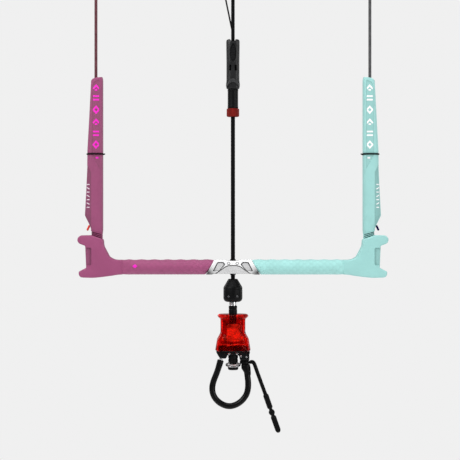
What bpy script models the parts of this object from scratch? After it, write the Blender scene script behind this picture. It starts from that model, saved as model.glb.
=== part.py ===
"""Kite control bar: a steering bar with two hinged floats, which slides on a depower line
between a trim cleat and a swivel, with a push-away release and a harness loop under it.

The part hangs by the eye of its centre line. The origin is the top of that eye, +Z is up,
+X runs along the bar and the front of the bar faces -Y. Heights below are measured from the
bar's axis, and level() turns them into heights in the part's frame. Units are metres.
"""

import math

import bmesh
import bpy
from mathutils import Matrix, Vector

MM = 0.001
GAP = 0.3  # between touching pieces, in mm like every size below
BAR_DROP = 465.0  # the bar's axis below the top of the centre line's eye

# Bar
GRIP_R = 11.8
TUBE_R = 8.0
TUBE_WALL = 1.5
TUBE_FROM, TUBE_TO = 20.0, 213.0
INSERT_TOP_X, INSERT_FOOT_X = 30.0, 43.5  # where the slanting joint meets the grip
INSERT_TOP, INSERT_FOOT, INSERT_BELLY = 12.0, -11.9, -10.6
INSERT_DEPTH = 13.0
BOLT_X = 14.7
GRIP_END_X = 178.0
BAR_END_DEPTH = 12.0
END_SCREW_X = 200.0
LEADER_X = 220.5

# Line and its guide
LINE_R = 3.3
BALL_R = 7.8
BUSH_R, BUSH_END = 4.5, 12.8
SEAT_LIP, FLARE_R = 4.6, 9.6  # the guide's seat opens into a cone, so that the bar can tilt

# Float
FLOAT_TOP = 306.9
FLOAT_DEPTH = 11.5
BUNGEE_Z, BUNGEE_R = 181.6, 1.1
LEADER_R = 2.45
HINGE_X, HINGE_Z = 218.5, 51.0

# Trim cleat
CLEAT_TOP, CLEAT_FOOT = 366.0, 286.6
CLEAT_HALF, CLEAT_DEPTH = 10.9, 9.5
SLEEVE_R, SLEEVE_FOOT = 8.6, 255.2
RING_R, RING_FOOT = 10.0, 241.8
TRIM_R, SAFETY_R = 2.95, 1.35
TRIM_Y, SAFETY_Y = -0.6, 4.2

# Swivel and release
HEAD_TOP, HEAD_FOOT, HEAD_R = -19.0, -56.0, 15.3
HEAD_SCREW_X, HEAD_SCREW_Z = 6.9, -46.6
SHAFT_R = 4.6
HANDLE_TOP, HANDLE_FOOT = -75.7, -134.9
WEB_TOP, WEB_FOOT = -122.3, -124.8
POST_X = 0.3
RING_Z = -157.3
LOOP_PIN_X, LOOP_PIN_Z = 21.7, -143.9
ARM_X = 18.9
LOOP_R = 4.6
CATCH_X = -19.9
FINGER_GRIP_TOP = (52.15, -204.4)
FINGER_LEAN = 19.4


def level(z):
    return z - BAR_DROP


def clear_scene():
    for thing in list(bpy.data.objects):
        bpy.data.objects.remove(thing)


def finish(name, colour, roughness, metallic=0.0, alpha=1.0):
    shade = bpy.data.materials.new(name)
    shade.use_nodes = True
    shader = shade.node_tree.nodes["Principled BSDF"]
    shader.inputs["Base Color"].default_value = (*colour, 1.0)
    shader.inputs["Roughness"].default_value = roughness
    shader.inputs["Metallic"].default_value = metallic
    shader.inputs["Alpha"].default_value = alpha
    return shade


def place(name, mesh, shade, sharp=35.0):
    """An object of this mesh, whose points are in millimetres above the bar's axis."""
    bmesh.ops.recalc_face_normals(mesh, faces=mesh.faces)
    to_frame = Matrix.Scale(MM, 4) @ Matrix.Translation((0, 0, -BAR_DROP))
    bmesh.ops.transform(mesh, matrix=to_frame, verts=mesh.verts)
    data = bpy.data.meshes.new(name)
    mesh.to_mesh(data)
    mesh.free()
    data.materials.append(shade)
    data.shade_smooth()
    data.set_sharp_from_angle(angle=math.radians(sharp))
    made = bpy.data.objects.new(name, data)
    bpy.context.collection.objects.link(made)
    return made


def skin_rings(mesh, rings, closed=False):
    """Faces between one ring of points and the next; open ends get a cap."""
    made = [[mesh.verts.new(p) for p in ring] for ring in rings]
    pairs = list(zip(made, made[1:]))
    if closed:
        pairs.append((made[-1], made[0]))
    for low, high in pairs:
        count = len(low)
        for i in range(count):
            j = (i + 1) % count
            mesh.faces.new((low[i], low[j], high[j], high[i]))
    if not closed:
        mesh.faces.new(made[0])
        mesh.faces.new(made[-1])


def turned(name, profile, shade, at=(0, 0, 0), along="Z", steps=16):
    """A solid turned about an axis through a point. The profile is a closed outline of
    (radius, height) points; where it starts and ends at radius 0 the solid has no bore."""
    mesh = bmesh.new()
    angles = [math.tau * i / steps for i in range(steps)]
    solid = profile[0][0] == 0
    rings = [
        [(r * math.cos(a), r * math.sin(a), z) for a in angles] for r, z in profile if r > 0
    ]
    if solid:
        skin_rings(mesh, rings)
    else:
        skin_rings(mesh, rings, closed=True)
    turn = {
        "Z": Matrix.Identity(4),
        "X": Matrix.Rotation(math.pi / 2, 4, "Y"),
        "Y": Matrix.Rotation(-math.pi / 2, 4, "X"),
    }[along]
    bmesh.ops.transform(mesh, matrix=Matrix.Translation(at) @ turn, verts=mesh.verts)
    return place(name, mesh, shade)


def extruded(name, outline, front, back, shade, bevel=0.0, segments=2):
    """An outline in (x, z) drawn out from y=front to y=back, with its edges rounded."""
    mesh = bmesh.new()
    near = [mesh.verts.new((x, front, z)) for x, z in outline]
    far = [mesh.verts.new((x, back, z)) for x, z in outline]
    mesh.faces.new(near)
    mesh.faces.new(far)
    for i in range(len(outline)):
        j = (i + 1) % len(outline)
        mesh.faces.new((near[i], near[j], far[j], far[i]))
    if bevel:
        rims = [e for e in mesh.edges if e.verts[0].co.y == e.verts[1].co.y]
        bmesh.ops.bevel(mesh, geom=rims, offset=bevel, segments=segments, affect="EDGES", profile=0.5)
    return place(name, mesh, shade)


def box_outline(half, low, high, middle=0.0):
    """A rectangle in (x, z) about a middle x."""
    return [(middle + x, z) for x, z in ((-half, low), (half, low), (half, high), (-half, high))]


def squircle(half_x, half_y, count, power=3.0):
    """Points of a rounded rectangle, anticlockwise from +X."""
    points = []
    for i in range(count):
        a = math.tau * i / count
        c, s = math.cos(a), math.sin(a)
        points.append(
            (
                math.copysign(abs(c) ** (2 / power), c) * half_x,
                math.copysign(abs(s) ** (2 / power), s) * half_y,
            )
        )
    return points


def lofted(name, sections, shade, count=16, power=3.0):
    """A solid through level sections, each (height, low x, high x, half depth)."""
    mesh = bmesh.new()
    rings = []
    for z, x0, x1, depth in sections:
        middle, half = (x0 + x1) / 2, (x1 - x0) / 2
        rings.append([(middle + x, y, z) for x, y in squircle(half, depth, count, power)])
    skin_rings(mesh, rings)
    return place(name, mesh, shade)


def hoop(name, centre, half_x, half_z, radius, shade, plane="XZ", count=18, sides=6, power=2.0):
    """A round bar bent into a closed hoop about a centre; in the plane XY, half_z is along Y."""
    mesh = bmesh.new()
    path = squircle(half_x, half_z, count, power)
    rings = []
    for i, (u, v) in enumerate(path):
        before, after = path[i - 1], path[(i + 1) % count]
        tangent = Vector((after[0] - before[0], after[1] - before[1])).normalized()
        outward = Vector((tangent.y, -tangent.x))
        ring = []
        for k in range(sides):
            a = math.tau * k / sides
            p = Vector((u, v)) + outward * radius * math.cos(a)
            lift = radius * math.sin(a)
            offset = (p.x, lift, p.y) if plane == "XZ" else (p.x, p.y, lift)
            ring.append(Vector(centre) + Vector(offset))
        rings.append(ring)
    skin_rings(mesh, rings, closed=True)
    return place(name, mesh, shade)


def rope(name, points, radius, shade, fineness=2):
    """A cord along points, as a curve with a round section and filled ends."""
    data = bpy.data.curves.new(name, "CURVE")
    data.dimensions = "3D"
    data.bevel_depth = radius * MM
    data.bevel_resolution = fineness
    data.use_fill_caps = True
    data.materials.append(shade)
    spline = data.splines.new("POLY")
    spline.points.add(len(points) - 1)
    for point, (x, y, z) in zip(spline.points, points):
        point.co = (x * MM, y * MM, level(z) * MM, 1.0)
    made = bpy.data.objects.new(name, data)
    bpy.context.collection.objects.link(made)
    return made


def swept(name, path, radii, shade, sides=10):
    """A round bar of changing radius along a path that lies in the plane y=0."""
    mesh = bmesh.new()
    rings = []
    for i, (point, radius) in enumerate(zip(path, radii)):
        before, after = path[max(i - 1, 0)], path[min(i + 1, len(path) - 1)]
        tangent = (after - before).normalized()
        aside = Vector((tangent.z, 0, -tangent.x))
        ring = []
        for k in range(sides):
            a = math.tau * k / sides
            ring.append(point + (aside * math.cos(a) + Vector((0, 1, 0)) * math.sin(a)) * radius)
        rings.append(ring)
    skin_rings(mesh, rings)
    return place(name, mesh, shade)


def smooth_path(points, count):
    """Points read from one smooth curve through the given ones."""
    knots = [Vector(p) for p in points]
    knots = [2 * knots[0] - knots[1], *knots, 2 * knots[-1] - knots[-2]]
    spans = len(knots) - 3
    path = []
    for i in range(count):
        place_on = spans * i / (count - 1)
        k = min(int(place_on), spans - 1)
        t = place_on - k
        a, b, c, d = knots[k : k + 4]
        path.append(
            0.5 * (2 * b + (c - a) * t + (2 * a - 5 * b + 4 * c - d) * t**2 + (3 * b - a - 3 * c + d) * t**3)
        )
    return path


def boolean(target, tool, operation):
    step = target.modifiers.new(tool.name, "BOOLEAN")
    step.operation = operation
    step.solver = "EXACT"
    step.object = tool
    tool.hide_render = True
    tool.display_type = "WIRE"


def cut(target, *tools):
    for tool in tools:
        boolean(target, tool, "DIFFERENCE")


def join(target, *tools):
    for tool in tools:
        boolean(target, tool, "UNION")


def bored(name, radius, low, high, shade, at=(0, 0), along="Z", steps=16):
    """A plain round cutter from low to high along an axis."""
    profile = [(0, low), (radius, low), (radius, high), (0, high)]
    spots = {"Z": (at[0], at[1], 0), "X": (0, at[0], at[1]), "Y": (at[0], 0, at[1])}
    return turned(name, profile, shade, at=spots[along], along=along, steps=steps)


def screw(name, at, front, back, head_r, shade, head=1.2, shank_r=1.2):
    """A screw along Y whose head faces the front, or the back where front lies behind back."""
    way = 1 if back > front else -1
    under = front + way * head
    profile = [(0, front), (head_r, front), (head_r, under), (shank_r, under), (shank_r, back), (0, back)]
    return turned(name, profile, shade, at=(at[0], 0, at[1]), along="Y", steps=12)


def turn_over(piece, side):
    """Takes a piece made for the right side to the side that is wanted."""
    piece.rotation_euler.z = 0 if side > 0 else math.pi


def pivot(name, x, z):
    """An empty on a joint's axis, which carries the pieces that move about it."""
    empty = bpy.data.objects.new(name, None)
    empty.empty_display_size = 0.02
    empty.location = (x * MM, 0, level(z) * MM)
    bpy.context.collection.objects.link(empty)
    return empty


def carry(empty, pieces):
    for piece in pieces:
        piece.parent = empty
        piece.matrix_parent_inverse = empty.matrix_world.inverted()


# ---------------------------------------------------------------- centre line


def make_lines(skin):
    profile = [(0, -36.0), (4.0, -35.6), (6.4, -31.0), (6.2, -28.0), (LINE_R, -25.0)]
    profile += [(LINE_R, 296.0), (0, 296.0)]
    line = turned("depower_line", profile, skin["line"], steps=16)
    trim = rope("trim_line", [(0, TRIM_Y, 342 + 17.2 * i) for i in range(7)], TRIM_R, skin["line"])
    trim_eye = hoop("trim_line_eye", (0, TRIM_Y, 455.2), 4.4, 7.5, 2.3, skin["line"])
    route = [(0.3, SAFETY_Y, 344), (0.2, SAFETY_Y, 366), (-0.6, 4.3, 378), (-2.9, 3.6, 389)]
    route += [(-8.1, 2.0, 414), (-12.2, 1.0, 434), (-16.0, 0.4, 452.5)]
    safety = rope("safety_line", smooth_path(route, 16), SAFETY_R, skin["line"])
    return [line, trim, trim_eye, safety]


def cleat_outline():
    """The cleat seen from the front: two ears at the top and a lip at the foot."""
    half = [(3.2, CLEAT_TOP - 3.2), (5.2, CLEAT_TOP), (8.6, CLEAT_TOP), (CLEAT_HALF, CLEAT_TOP - 3.0)]
    half += [(CLEAT_HALF - 0.4, 300.0), (CLEAT_HALF + 0.3, 291.4), (9.6, CLEAT_FOOT)]
    return half + [(-x, z) for x, z in reversed(half)]


def make_cleat(skin):
    front = extruded("cleat_front", cleat_outline(), -CLEAT_DEPTH, -GAP / 2, skin["shell"])
    back = extruded("cleat_back", cleat_outline(), GAP / 2, CLEAT_DEPTH, skin["shell"])
    hollow = [(286.0, -5.4, 5.4, 6.0), (352.0, -5.4, 5.4, 6.6)]
    hollow += [(358.0, -4.4, 4.4, 6.9), (368.0, -4.4, 4.4, 6.9)]
    channel = lofted("cut_channel", hollow, skin["shell"])
    oval = [(4.9 * c, 344.5 + 14.5 * s) for c, s in squircle(1, 1, 20, 2.0)]
    window = extruded("cut_window", oval, -12.0, -5.0, skin["shell"])
    seat = extruded("cut_jaw_seat", box_outline(5.3, 328.7, 358.3), -7.4, -3.6, skin["shell"])
    cut(front, channel, window, seat)
    cut(back, channel)
    jaw_outline = box_outline(5.0, 329.0, 358.0)
    jaw = extruded("cleat_jaw", jaw_outline, -7.1, -3.9, skin["metal"], bevel=0.5, segments=1)
    screws = []
    for name, x, z in (("cleat_screw_upper", 8.2, 350.0), ("cleat_screw_lower", -8.2, 300.0)):
        spot = (x, z)
        hole = bored("cut_" + name, 1.5, -6.3, 12.0, skin["shell"], at=spot, along="Y", steps=12)
        head_room = bored("cut_head_" + name, 2.2, 8.0, 12.0, skin["shell"], at=spot, along="Y", steps=12)
        cut(front, hole)
        cut(back, hole, head_room)
        screws.append(screw(name, spot, 9.6, -6.0, 1.9, skin["metal"]))
    sleeve = turned(
        "cleat_sleeve",
        [(3.6, 286.3), (8.0, 286.3), (SLEEVE_R, 285.0), (SLEEVE_R, SLEEVE_FOOT), (3.6, SLEEVE_FOOT)],
        skin["shell"],
    )
    top = SLEEVE_FOOT - GAP
    profile = [(3.6, top), (9.2, top), (RING_R, top - 1.0), (RING_R, RING_FOOT + 1.6)]
    profile += [(8.8, RING_FOOT), (3.6, RING_FOOT)]
    ring = turned("bumper_ring", profile, skin["ring"])
    return [front, back, jaw, sleeve, ring, *screws]


def make_swivel_head(skin):
    profile = [(3.6, HEAD_TOP), (7.4, HEAD_TOP), (14.7, -31.9), (HEAD_R, -33.0), (HEAD_R, -50.5)]
    profile += [(14.0, -53.8), (11.6, -55.6), (9.8, HEAD_FOOT), (4.9, HEAD_FOOT), (4.9, -46.0)]
    profile += [(11.5, -46.0), (11.5, -28.5), (7.0, -24.2), (3.6, -24.2)]
    head = turned("swivel_head", profile, skin["shell"], steps=20)
    bearing = turned(
        "swivel_bearing", [(4.9, -45.7), (11.2, -45.7), (11.2, -41.2), (4.9, -41.2)], skin["metal"]
    )
    screws = []
    for side, name in ((-1, "swivel_screw_left"), (1, "swivel_screw_right")):
        x, z = HEAD_SCREW_X * side, HEAD_SCREW_Z
        hole = bored("cut_" + name, 1.9, -17.0, -12.4, skin["shell"], at=(x, z), along="Y", steps=12)
        cut(head, hole)
        profile = [(0, -14.2), (1.6, -14.2), (1.6, -12.7), (0, -12.7)]
        screws.append(turned(name, profile, skin["metal"], at=(x, 0, z), along="Y", steps=12))
    return [head, bearing, *screws]


# ---------------------------------------------------------------- bar


def make_bush(skin):
    profile = [(3.6, BUSH_END), (BUSH_R, BUSH_END)]
    start = math.asin(BUSH_R / BALL_R)
    for i in range(7):
        a = start + (math.pi - 2 * start) * i / 6
        profile.append((BALL_R * math.sin(a), BALL_R * math.cos(a)))
    profile += [(BUSH_R, -BUSH_END), (3.6, -BUSH_END)]
    return turned("line_bush", profile, skin["bush"])


def seat_cutter(skin):
    """The ball's seat, open above and below in a cone."""
    reach = BALL_R + GAP
    half = math.asin(SEAT_LIP / reach)
    profile = [(0, 13.4), (FLARE_R, 13.4)]
    for i in range(5):
        a = half - 2 * half * i / 4
        profile.append((reach * math.cos(a), reach * math.sin(a)))
    profile += [(FLARE_R, -13.4), (0, -13.4)]
    return turned("cut_ball_seat", profile, skin["insert"])


def make_insert(skin):
    half = [(9.0, INSERT_TOP - 1.8), (16.0, INSERT_TOP), (INSERT_TOP_X - GAP, INSERT_TOP)]
    half += [(INSERT_FOOT_X - GAP, INSERT_FOOT), (34.0, INSERT_FOOT), (30.0, INSERT_BELLY)]
    outline = half + [(-x, z) for x, z in reversed(half)]
    front = extruded("insert_front", outline, -INSERT_DEPTH, -GAP / 2, skin["insert"])
    back = extruded("insert_back", outline, GAP / 2, INSERT_DEPTH, skin["insert"])
    seat = seat_cutter(skin)
    for shell in (front, back):
        cut(shell, seat)
    screws = []
    for side, word in ((-1, "left"), (1, "right")):
        paint = skin["insert"]
        socket = bored(f"cut_socket_{word}", TUBE_R + GAP, TUBE_FROM - GAP, 60.0, paint, along="X")
        turn_over(socket, side)
        cut(front, socket)
        cut(back, socket)
        spot = (BOLT_X * side, 0)
        bolt = bored(f"cut_bolt_{word}", 1.9, -9.0, 20.0, paint, at=spot, along="Y", steps=12)
        bolt_head = bored(f"cut_bolt_head_{word}", 3.1, 11.4, 20.0, paint, at=spot, along="Y")
        cut(front, bolt)
        cut(back, bolt, bolt_head)
        screws.append(screw(f"insert_bolt_{word}", spot, 13.0, -8.7, 2.8, skin["metal"], shank_r=1.6))
    return [front, back, *screws]


def make_tube(skin, side, word):
    inner = TUBE_R - TUBE_WALL
    profile = [(inner, TUBE_FROM), (TUBE_R, TUBE_FROM), (TUBE_R, TUBE_TO), (inner, TUBE_TO)]
    tube = turned(f"bar_tube_{word}", profile, skin["tube"], along="X")
    turn_over(tube, side)
    return tube


def make_grip(skin, side, word):
    """A sleeve on the tube, cut on the slant where it meets the insert."""
    slope = (INSERT_FOOT_X - INSERT_TOP_X) / (INSERT_TOP - INSERT_FOOT)
    middle = (INSERT_TOP_X + INSERT_FOOT_X) / 2 + GAP
    mesh = bmesh.new()
    steps, inner = 20, TUBE_R + GAP
    rings = []
    for r, slanted in ((inner, True), (GRIP_R, True), (GRIP_R, False), (inner, False)):
        ring = []
        for i in range(steps):
            a = math.tau * i / steps
            y, z = r * math.cos(a), r * math.sin(a)
            x = middle - slope * z if slanted else GRIP_END_X - GAP
            ring.append((side * x, y, z))
        rings.append(ring)
    skin_rings(mesh, rings, closed=True)
    return place(f"grip_{word}", mesh, skin["grip_" + word])


def bar_end_outline():
    """The bar end seen from the front, for the right side: a boss over the tube, an arm up to
    the float's neck, and two lips that hold wound lines."""
    shape = [(GRIP_END_X + 5.2, -11.9), (193.2, -13.7), (209.1, -15.8), (223.5, -17.2), (238.6, -16.9)]
    shape += [(244.2, -16.3), (246.8, -13.4), (247.5, -9.0), (246.8, -6.9), (235.4, -1.1)]
    shape += [(236.8, 34.0), (246.5, 37.7), (249.4, 41.4), (249.4, 46.4), (245.0, 51.0)]
    shape += [(227.8, 51.4), (208.3, 44.9), (208.0, 37.7), (207.2, 33.3), (199.0, 17.5), (197.2, 15.8)]
    shape += [(186.1, 11.4), (GRIP_END_X, 10.9), (GRIP_END_X, -11.3)]
    return shape


def make_bar_end(skin, side, word):
    outline = [(side * x, z) for x, z in bar_end_outline()]
    rim = skin["grip_" + word]
    made = extruded(f"bar_end_{word}", outline, -BAR_END_DEPTH, BAR_END_DEPTH, rim, bevel=2.0)
    socket = bored(f"cut_end_socket_{word}", TUBE_R + GAP, 170.0, TUBE_TO + GAP, skin["tube"], along="X")
    turn_over(socket, side)
    x = side * LEADER_X
    channel = bored(f"cut_leader_{word}", LEADER_R + GAP, 30.0, 60.0, skin["tube"], at=(x, 0))
    chamber = bored(f"cut_knot_{word}", 6.3, 19.5, 34.0, skin["tube"], at=(x, 0))
    spot = (side * END_SCREW_X, 0)
    bolt = bored(f"cut_end_bolt_{word}", 1.9, 6.0, 20.0, skin["tube"], at=spot, along="Y", steps=12)
    head = bored(f"cut_end_bolt_head_{word}", 3.3, 10.6, 20.0, skin["tube"], at=spot, along="Y")
    cut(made, socket, channel, chamber, bolt, head)
    fastener = screw(f"bar_end_screw_{word}", spot, 12.2, 8.5, 3.0, skin["metal"], shank_r=1.6)
    profile = [(0, 55.0), (LEADER_R, 55.0), (LEADER_R, 33.6), (4.6, 32.6), (5.8, 29.4), (5.8, 26.0)]
    profile += [(4.2, 22.2), (0, 21.6)]
    anchor = turned(f"leader_anchor_{word}", profile, skin["leader_" + word], at=(x, 0, 0), steps=14)
    return [made, fastener, anchor]


def make_neck(skin, side, word):
    """The ribbed rubber neck that lets the float bend over."""
    outline = [(209.9, 45.9), (227.3, 51.9), (227.0, 53.6), (228.1, 55.2), (227.7, 57.9), (209.8, 53.6)]
    outline = [(side * x, z) for x, z in outline]
    rubber = skin["grip_" + word]
    neck = extruded(f"float_neck_{word}", outline, -8.0, 8.0, rubber, bevel=1.5, segments=1)
    bore = bored(f"cut_neck_{word}", LEADER_R + GAP, 40.0, 62.0, rubber, at=(side * LEADER_X, 0))
    cut(neck, bore)
    return neck


def float_sections():
    """(height, inner x, outer x, half depth) up the right float."""
    waist = 0.9
    return [
        (66.2, 209.0, 230.4, 10.0),
        (82.8, 208.8, 238.3, FLOAT_DEPTH),
        (120.0, 208.8, 236.4, FLOAT_DEPTH),
        (164.0, 208.8, 234.4, FLOAT_DEPTH),
        (178.6, 208.8, 234.1, 11.2),
        (179.8, 208.8 + waist, 234.1 - waist, 11.2 - waist),
        (183.4, 208.8 + waist, 234.1 - waist, 11.2 - waist),
        (184.6, 208.8, 234.1, 11.2),
        (240.0, 208.8, 231.2, 10.2),
        (290.0, 208.8, 228.6, 8.6),
        (300.2, 208.9, 227.6, 7.4),
    ]


def make_float(skin, side, word):
    """The foam float: level sections between a slanting foot and a slanting top."""
    mesh = bmesh.new()

    def ring(x0, x1, depth, outer_z, inner_z):
        middle, half = (x0 + x1) / 2, (x1 - x0) / 2
        points = []
        for x, y in squircle(half, depth, 16, 3.2):
            share = (x / half + 1) / 2
            points.append((side * (middle + x), y, inner_z + (outer_z - inner_z) * share))
        return points

    rings = [ring(209.4, 228.1, 8.6, 58.3, 54.2)]
    rings += [ring(x0, x1, depth, z, z) for z, x0, x1, depth in float_sections()]
    rings.append(ring(209.2, 227.2, 6.8, 300.4, 304.4))
    rings.append(ring(210.4, 226.0, 5.6, 301.8, FLOAT_TOP - 0.6))
    skin_rings(mesh, rings)
    body = place(f"float_{word}", mesh, skin["float_" + word])
    x = side * LEADER_X
    cut(body, bored(f"cut_float_{word}", LEADER_R + GAP, 40.0, 330.0, skin["tube"], at=(x, 0)))
    return body


def make_leader(skin, side, word):
    x = side * LEADER_X
    leader_skin = skin["leader_" + word]
    hidden = [(x, 0, 57.6), (x, 0, 170), (x, 0, 279.7)]
    inner = rope(f"leader_inner_{word}", hidden, LEADER_R, leader_skin)
    free = [(x, 0, 280 + 12.3 * i) for i in range(15)]
    leader = rope(f"leader_{word}", free, LEADER_R, leader_skin)
    return [inner, leader]


def make_float_trim(skin, side, word):
    centre = (side * 221.45, 0, BUNGEE_Z)
    loop = {"plane": "XY", "count": 24, "sides": 4, "power": 3.2}
    bungee = hoop(f"bungee_{word}", centre, 13.15, 11.85, BUNGEE_R, skin["line"], **loop)
    route = [(232.4, 0, 65.2), (233.2, -0.2, 63.0), (234.2, 0, 59.6)]
    tab = rope(f"float_tab_{word}", [(side * x, y, z) for x, y, z in route], 1.05, skin["tab_" + word])
    return [bungee, tab]


# ---------------------------------------------------------------- release


def make_shaft(skin):
    profile = [(0, -38.4), (9.0, -38.4), (9.0, -40.9), (SHAFT_R, -40.9), (SHAFT_R, -130.0), (0, -130.0)]
    shaft = turned("swivel_shaft", profile, skin["metal"], steps=20)
    profile = [(4.9, -56.7), (6.1, -56.7), (6.1, -62.0), (4.9, -62.0)]
    collar = turned("swivel_collar", profile, skin["metal"])
    profile = [(4.9, -62.3), (6.4, -62.3), (6.8, -63.0), (6.8, -77.0), (5.9, -78.0), (5.9, -90.8)]
    profile += [(10.4, -91.2), (10.4, -93.0), (4.9, -93.0)]
    guide = turned("guide_tube", profile, skin["shell"])
    return [shaft, collar, guide]


def make_spring(skin):
    """A coil round the shaft between the guide tube's flange and the handle's web."""
    turns, wire, radius = 6, 0.6, 8.0
    low, high = WEB_TOP + GAP + wire, -93.0 - GAP - wire
    points = []
    for i in range(turns * 8 + 1):
        a = math.tau * i / 8
        points.append((radius * math.cos(a), radius * math.sin(a), low + (high - low) * i / (turns * 8)))
    return rope("release_spring", points, wire, skin["metal"], fineness=0)


def handle_sections(inset):
    """(height, low x, high x, half depth) down the handle; the inset gives its inside."""
    shape = [(HANDLE_TOP, 22.6, 16.6), (-78.6, 24.8, 18.6), (-83.6, 20.1, 16.0), (-105.1, 20.0, 16.0)]
    shape += [(-115.3, 25.5, 18.6), (-134.0, 28.3, 20.2), (HANDLE_FOOT, 28.1, 20.0)]
    return [(z, -(x - inset), x - inset, y - inset) for z, x, y in shape]


def make_handle(skin):
    handle = lofted("release_handle", handle_sections(0), skin["handle"], count=24, power=2.7)
    upper = [
        (-79.8, -17.0, 17.0, 13.0),
        (-104.6, -17.4, 17.4, 13.4),
        (-114.6, -20.0, 20.0, 15.0),
        (WEB_TOP, -21.6, 21.6, 15.6),
    ]
    lower = [(WEB_FOOT, -24.2, 24.2, 16.6), (-134.0, -26.3, 26.3, 18.0), (-140.0, -26.6, 26.6, 18.2)]
    room = lofted("cut_handle_upper", upper, skin["handle"], count=20, power=2.7)
    skirt = lofted("cut_handle_lower", lower, skin["handle"], count=24, power=2.8)
    mouth = bored("cut_handle_mouth", 7.3, -85.0, -70.0, skin["handle"])
    hole = bored("cut_handle_web", 6.0, -130.0, -118.0, skin["handle"])
    cut(handle, room, skirt, mouth, hole)
    return handle


def make_release_body(skin):
    """The latch block: a core inside the handle, a catch on the left, and on the right a fork
    for the loop's arm. The leash post screws into its middle."""
    core = [(-135.6, -24.2, 24.2, 13.0), (-134.4, -24.0, 24.0, 13.4)]
    core += [(-127.0, -22.0, 22.0, 13.6), (-125.9, -21.0, 21.0, 12.8)]
    body = lofted("release_body", core, skin["shell"], count=20)
    outline = [(-27.3, -135.7), (-26.1, -137.5), (-22.5, -143.9), (-19.6, -146.5), (-11.8, -146.8)]
    outline += [(-9.5, -143.9), (-8.3, -140.9), (-6.9, -139.9), (-6.9, -134.6), (-22.0, -134.8)]
    outline += [(-22.6, -135.7)]
    lobe = extruded("add_lobe", outline, -10.5, 10.5, skin["shell"], bevel=1.0, segments=1)
    outline = [(-8.0, -134.6), (-8.0, -141.3), (8.6, -141.3), (10.2, -143.0), (10.9, -148.0)]
    outline += [(12.4, -149.1), (24.4, -149.1), (25.6, -147.6), (25.6, -143.5), (27.2, -137.2)]
    outline += [(27.3, -135.7), (22.6, -135.7), (22.0, -134.8)]
    fork = extruded("add_fork", outline, -11.0, 11.0, skin["shell"], bevel=1.0, segments=1)
    join(body, lobe, fork)
    slot = extruded("cut_fork_slot", box_outline(15.4, -160.0, -136.0, 24.6), -6.8, 6.8, skin["shell"])
    top_bore = bored("cut_shaft_bore", SHAFT_R + GAP, -131.0, -120.0, skin["shell"])
    post_bore = bored("cut_post_bore", 4.0, -150.0, -133.0, skin["shell"], at=(POST_X, 0))
    catch = bored("cut_catch", 2.7, -150.0, -139.0, skin["shell"], at=(CATCH_X, 0))
    pin_spot = (LOOP_PIN_X, LOOP_PIN_Z)
    pin_bore = bored("cut_loop_pin", 2.2, -10.4, 10.4, skin["shell"], at=pin_spot, along="Y")
    cut(body, slot, top_bore, post_bore, catch, pin_bore)
    screws = []
    spots = (("release_screw_left", -6.0, -138.8, 1.8), ("release_screw_middle", 6.6, -138.6, 1.8))
    spots += (("release_screw_right", 13.0, -142.6, 1.6),)
    for name, x, z, r in spots:
        hole = bored("cut_" + name, 1.2, -13.0, -7.8, skin["shell"], at=(x, z), along="Y", steps=12)
        head = bored("cut_head_" + name, r + GAP, -13.0, -10.0, skin["shell"], at=(x, z), along="Y")
        cut(body, hole, head)
        screws.append(screw(name, (x, z), -11.2, -8.2, r, skin["metal"], head=1.0, shank_r=0.9))
    profile = [(0, -10.1), (1.9, -10.1), (1.9, 10.1), (0, 10.1)]
    centre = (LOOP_PIN_X, 0, LOOP_PIN_Z)
    pin = turned("loop_hinge_pin", profile, skin["metal"], at=centre, along="Y")
    return [body, pin, *screws]


def make_leash_post(skin):
    profile = [(0, -134.0), (3.7, -134.0), (3.7, -141.8), (7.6, -142.2), (7.6, -146.6), (7.0, -147.2)]
    profile += [(7.0, -148.4), (7.6, -149.0), (7.6, -154.0), (5.2, -154.6), (5.2, -158.0)]
    profile += [(3.0, -159.6), (3.0, -162.6), (0, -162.6)]
    post = turned("leash_post", profile, skin["shell"], at=(POST_X, 0, 0))
    profile = [(0, -165.5), (7.0, -165.5), (8.1, -164.4), (8.6, -160.6), (8.2, -160.1), (3.3, -160.1)]
    profile += [(3.3, -163.0), (0, -163.0)]
    cap = turned("leash_post_cap", profile, skin["shell"], at=(POST_X, 0, 0))
    centre = (POST_X, 0, RING_Z)
    ring = hoop("leash_ring", centre, 11.1, 11.1, 1.25, skin["metal"], plane="XY", count=22)
    profile = [(5.6, -1.4), (7.4, -1.4), (7.4, 1.4), (5.6, 1.4)]
    join(ring, turned("add_ring_hub", profile, skin["metal"], at=centre))
    for side, word in ((-1, "left"), (1, "right")):
        outline = box_outline(2.3, RING_Z - 0.9, RING_Z + 0.9, POST_X + 8.7 * side)
        join(ring, extruded(f"add_ring_spoke_{word}", outline, -2.0, 2.0, skin["metal"]))
    return [post, cap], ring


def loop_path():
    """The loop's centre line from its free end round to the arm."""
    knots = [(-20.1, -151.6), (-23.7, -164.2), (-27.4, -173.9), (-31.4, -183.5), (-33.6, -194.0)]
    knots += [(-32.4, -203.5), (-28.6, -210.5), (-20.0, -218.6), (-5.5, -223.2), (9.0, -218.6)]
    knots += [(18.6, -209.5), (22.9, -201.0), (24.3, -189.5), (23.4, -180.0), (22.2, -172.9)]
    return smooth_path([(x, 0, z) for x, z in knots], 27)


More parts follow.
